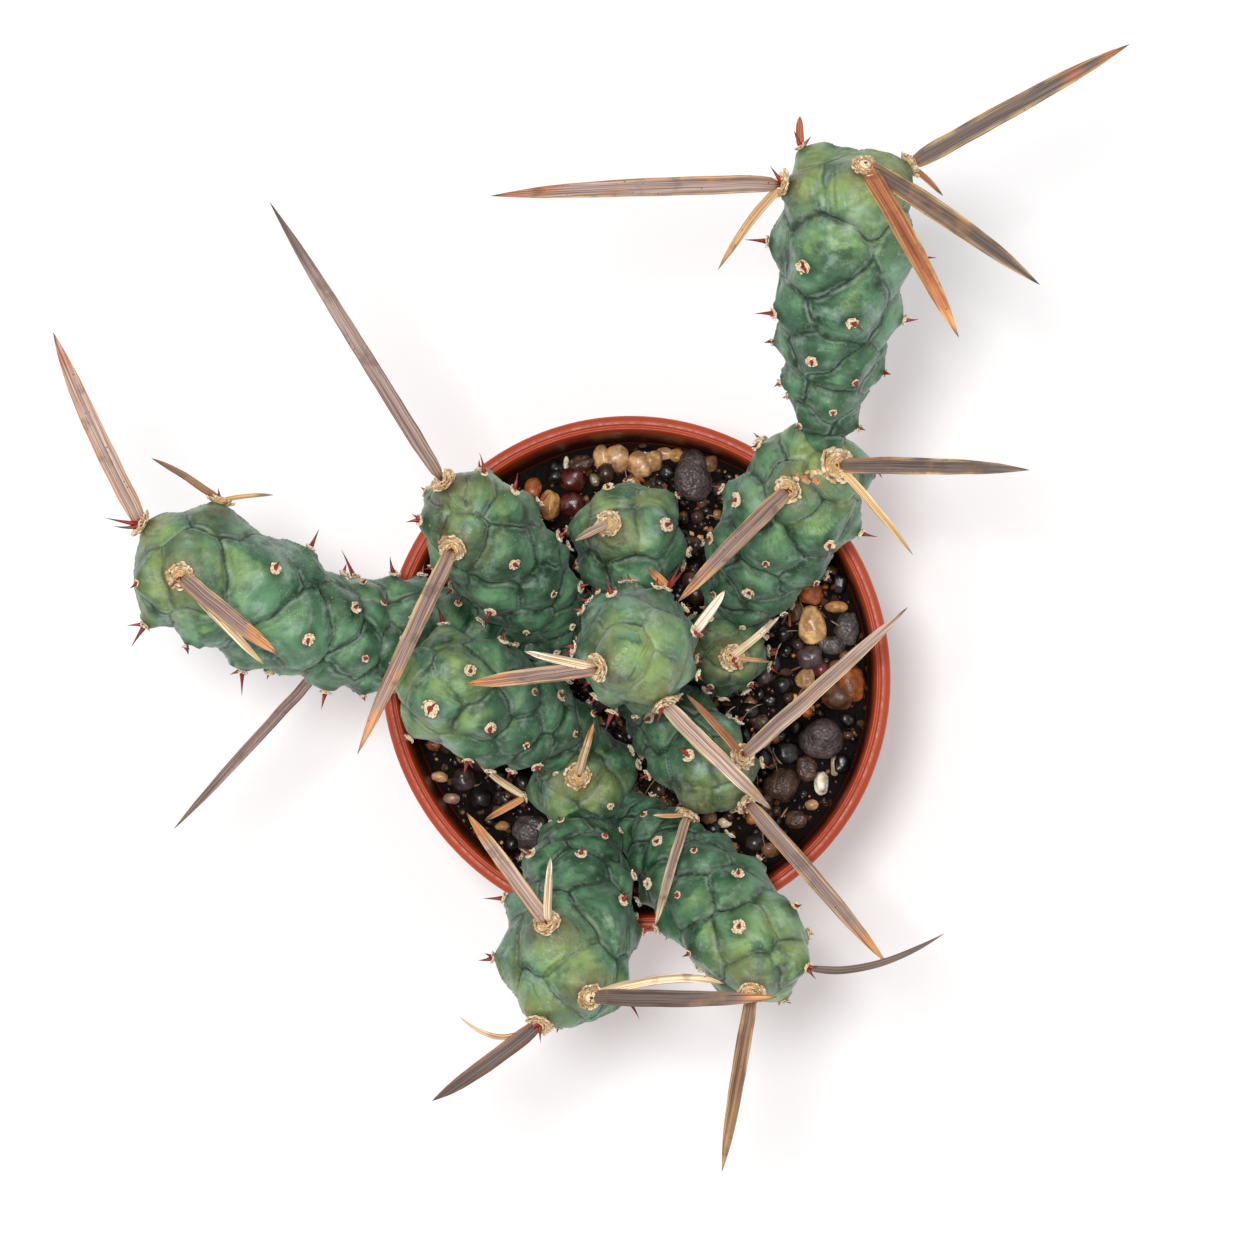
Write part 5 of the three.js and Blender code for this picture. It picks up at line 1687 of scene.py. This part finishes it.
def soilFinish():
    material, tree, surface = newFinish("dark potting soil", 0.9)
    where = objectPlace(tree)
    grain = noise(tree, where, 1.2, 5, 0.7)
    crumbs = newNode(tree, "TexVoronoi", {"Vector": where, "Scale": 700}).outputs["Color"]
    value = newNode(tree, "SeparateColor", {0: crumbs}).outputs[0]
    paint = blendColours(tree, spread(tree, grain, 0.35, 0.65), groundLook["soilDark"],
                         groundLook["soilPale"])
    paint = blendColours(tree, times(tree, spread(tree, value, 0.93, 0.98), 0.5), paint,
                         groundLook["barkCrumbs"])
    useColour(tree, surface, paint)
    surface.inputs["Specular IOR Level"].default_value = 0.2
    bumpFrom(tree, surface, grain, 0.6, 1.0)
    return material


def stoneFinish():
    material, tree, surface = newFinish("smooth pebble", 0.27)
    where = objectPlace(tree)
    tint = storedColour(tree, "tint")
    cloud, grain = noise(tree, where, 3.2, 4, 0.65), noise(tree, where, 0.7, 3, 0.7)
    dark = blendColours(tree, 1.0, tint, groundLook["stoneDark"], "MULTIPLY")
    pale = blendColours(tree, 1.0, tint, groundLook["stonePale"], "MULTIPLY")
    paint = blendColours(tree, spread(tree, cloud, 0.36, 0.66), dark, pale)
    paint = blendColours(tree, times(tree, spread(tree, grain, 0.58, 0.72), 0.45), paint, dark)
    useColour(tree, surface, paint)
    bumpFrom(tree, surface, grain, 0.12, 0.6)
    return material


def lavaFinish():
    material, tree, surface = newFinish("pitted lava stone", 0.42)
    where = objectPlace(tree)
    tint = storedColour(tree, "tint")
    where = newNode(tree, "VectorMath", {0: where, 1: newNode(tree, "VectorMath", {
        0: newNode(tree, "TexNoise", {"Vector": where, "Scale": 700}).outputs["Color"],
        1: (0.0009, 0.0009, 0.0009)},
        operation="MULTIPLY").outputs[0]}, operation="ADD").outputs[0]
    pits = newNode(tree, "TexVoronoi", {"Vector": where, "Scale": 1300}).outputs["Distance"]
    cloud = noise(tree, where, 2.0, 5, 0.7)
    pale = blendColours(tree, 1.0, tint, groundLook["lavaPale"], "MULTIPLY")
    paint = blendColours(tree, spread(tree, cloud, 0.38, 0.62), tint, pale)
    # painted shade in the pits
    paint = blendColours(tree, times(tree, spread(tree, pits, 0.34, 0.12), 0.8), paint,
                         groundLook["lavaPitShade"])
    useColour(tree, surface, paint)
    bumpFrom(tree, surface, pits, 0.3, 0.7)
    return material


makeSoil(soilFinish())
makePebbles([stoneFinish(), lavaFinish()])
makeGrit([bpy.data.materials["smooth pebble"]])
makeLitter([armourMaterials[0]])
print("soil, pebbles, grit and litter made")

# floor and light

studio = {
    "floorSize": 6.0,
    "floorShades": (colour(0.93, 0.93, 0.93), colour(0.925, 0.925, 0.925)),
    "fill": 0.74,
    "keyPower": 5.2,
    "keySize": 0.13,
    "keyPlace": (-0.030, 0.010, 1.02),
}


def makeFloor():
    mesh = shapeMesh("floor", lambda shape: bmesh.ops.create_grid(
        shape, x_segments=1, y_segments=1, size=studio["floorSize"] / 2))
    material, tree, surface = newFinish("pale floor", 0.9)
    where = objectPlace(tree)
    paint = blendColours(tree, noise(tree, where, 400, 2), *studio["floorShades"])
    useColour(tree, surface, paint)
    surface.inputs["Specular IOR Level"].default_value = 0.1
    mesh.materials.append(material)
    floor = bpy.data.objects.new("floor", mesh)
    bpy.context.scene.collection.objects.link(floor)
    floor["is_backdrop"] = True


def makeLight():
    world = bpy.data.worlds.new("soft white room")
    bpy.context.scene.world = world
    world.use_nodes = True
    background = world.node_tree.nodes["Background"]
    background.inputs["Color"].default_value = colour(1, 1, 1)
    background.inputs["Strength"].default_value = studio["fill"]
    data = bpy.data.lights.new("key", "AREA")
    data.shape, data.size, data.energy = "DISK", studio["keySize"], studio["keyPower"]
    key = bpy.data.objects.new("key", data)
    key.location = studio["keyPlace"]
    key.rotation_euler = (Vector((0, 0, 0.1)) - key.location).to_track_quat("-Z", "Y").to_euler()
    bpy.context.scene.collection.objects.link(key)
    bpy.context.scene.view_settings.view_transform = "Standard"


makeFloor()
makeLight()
print("floor and light made")

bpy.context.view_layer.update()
triangles = sum(sum(len(face.vertices) - 2 for face in one.data.polygons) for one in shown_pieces())
print("triangles, about", triangles)
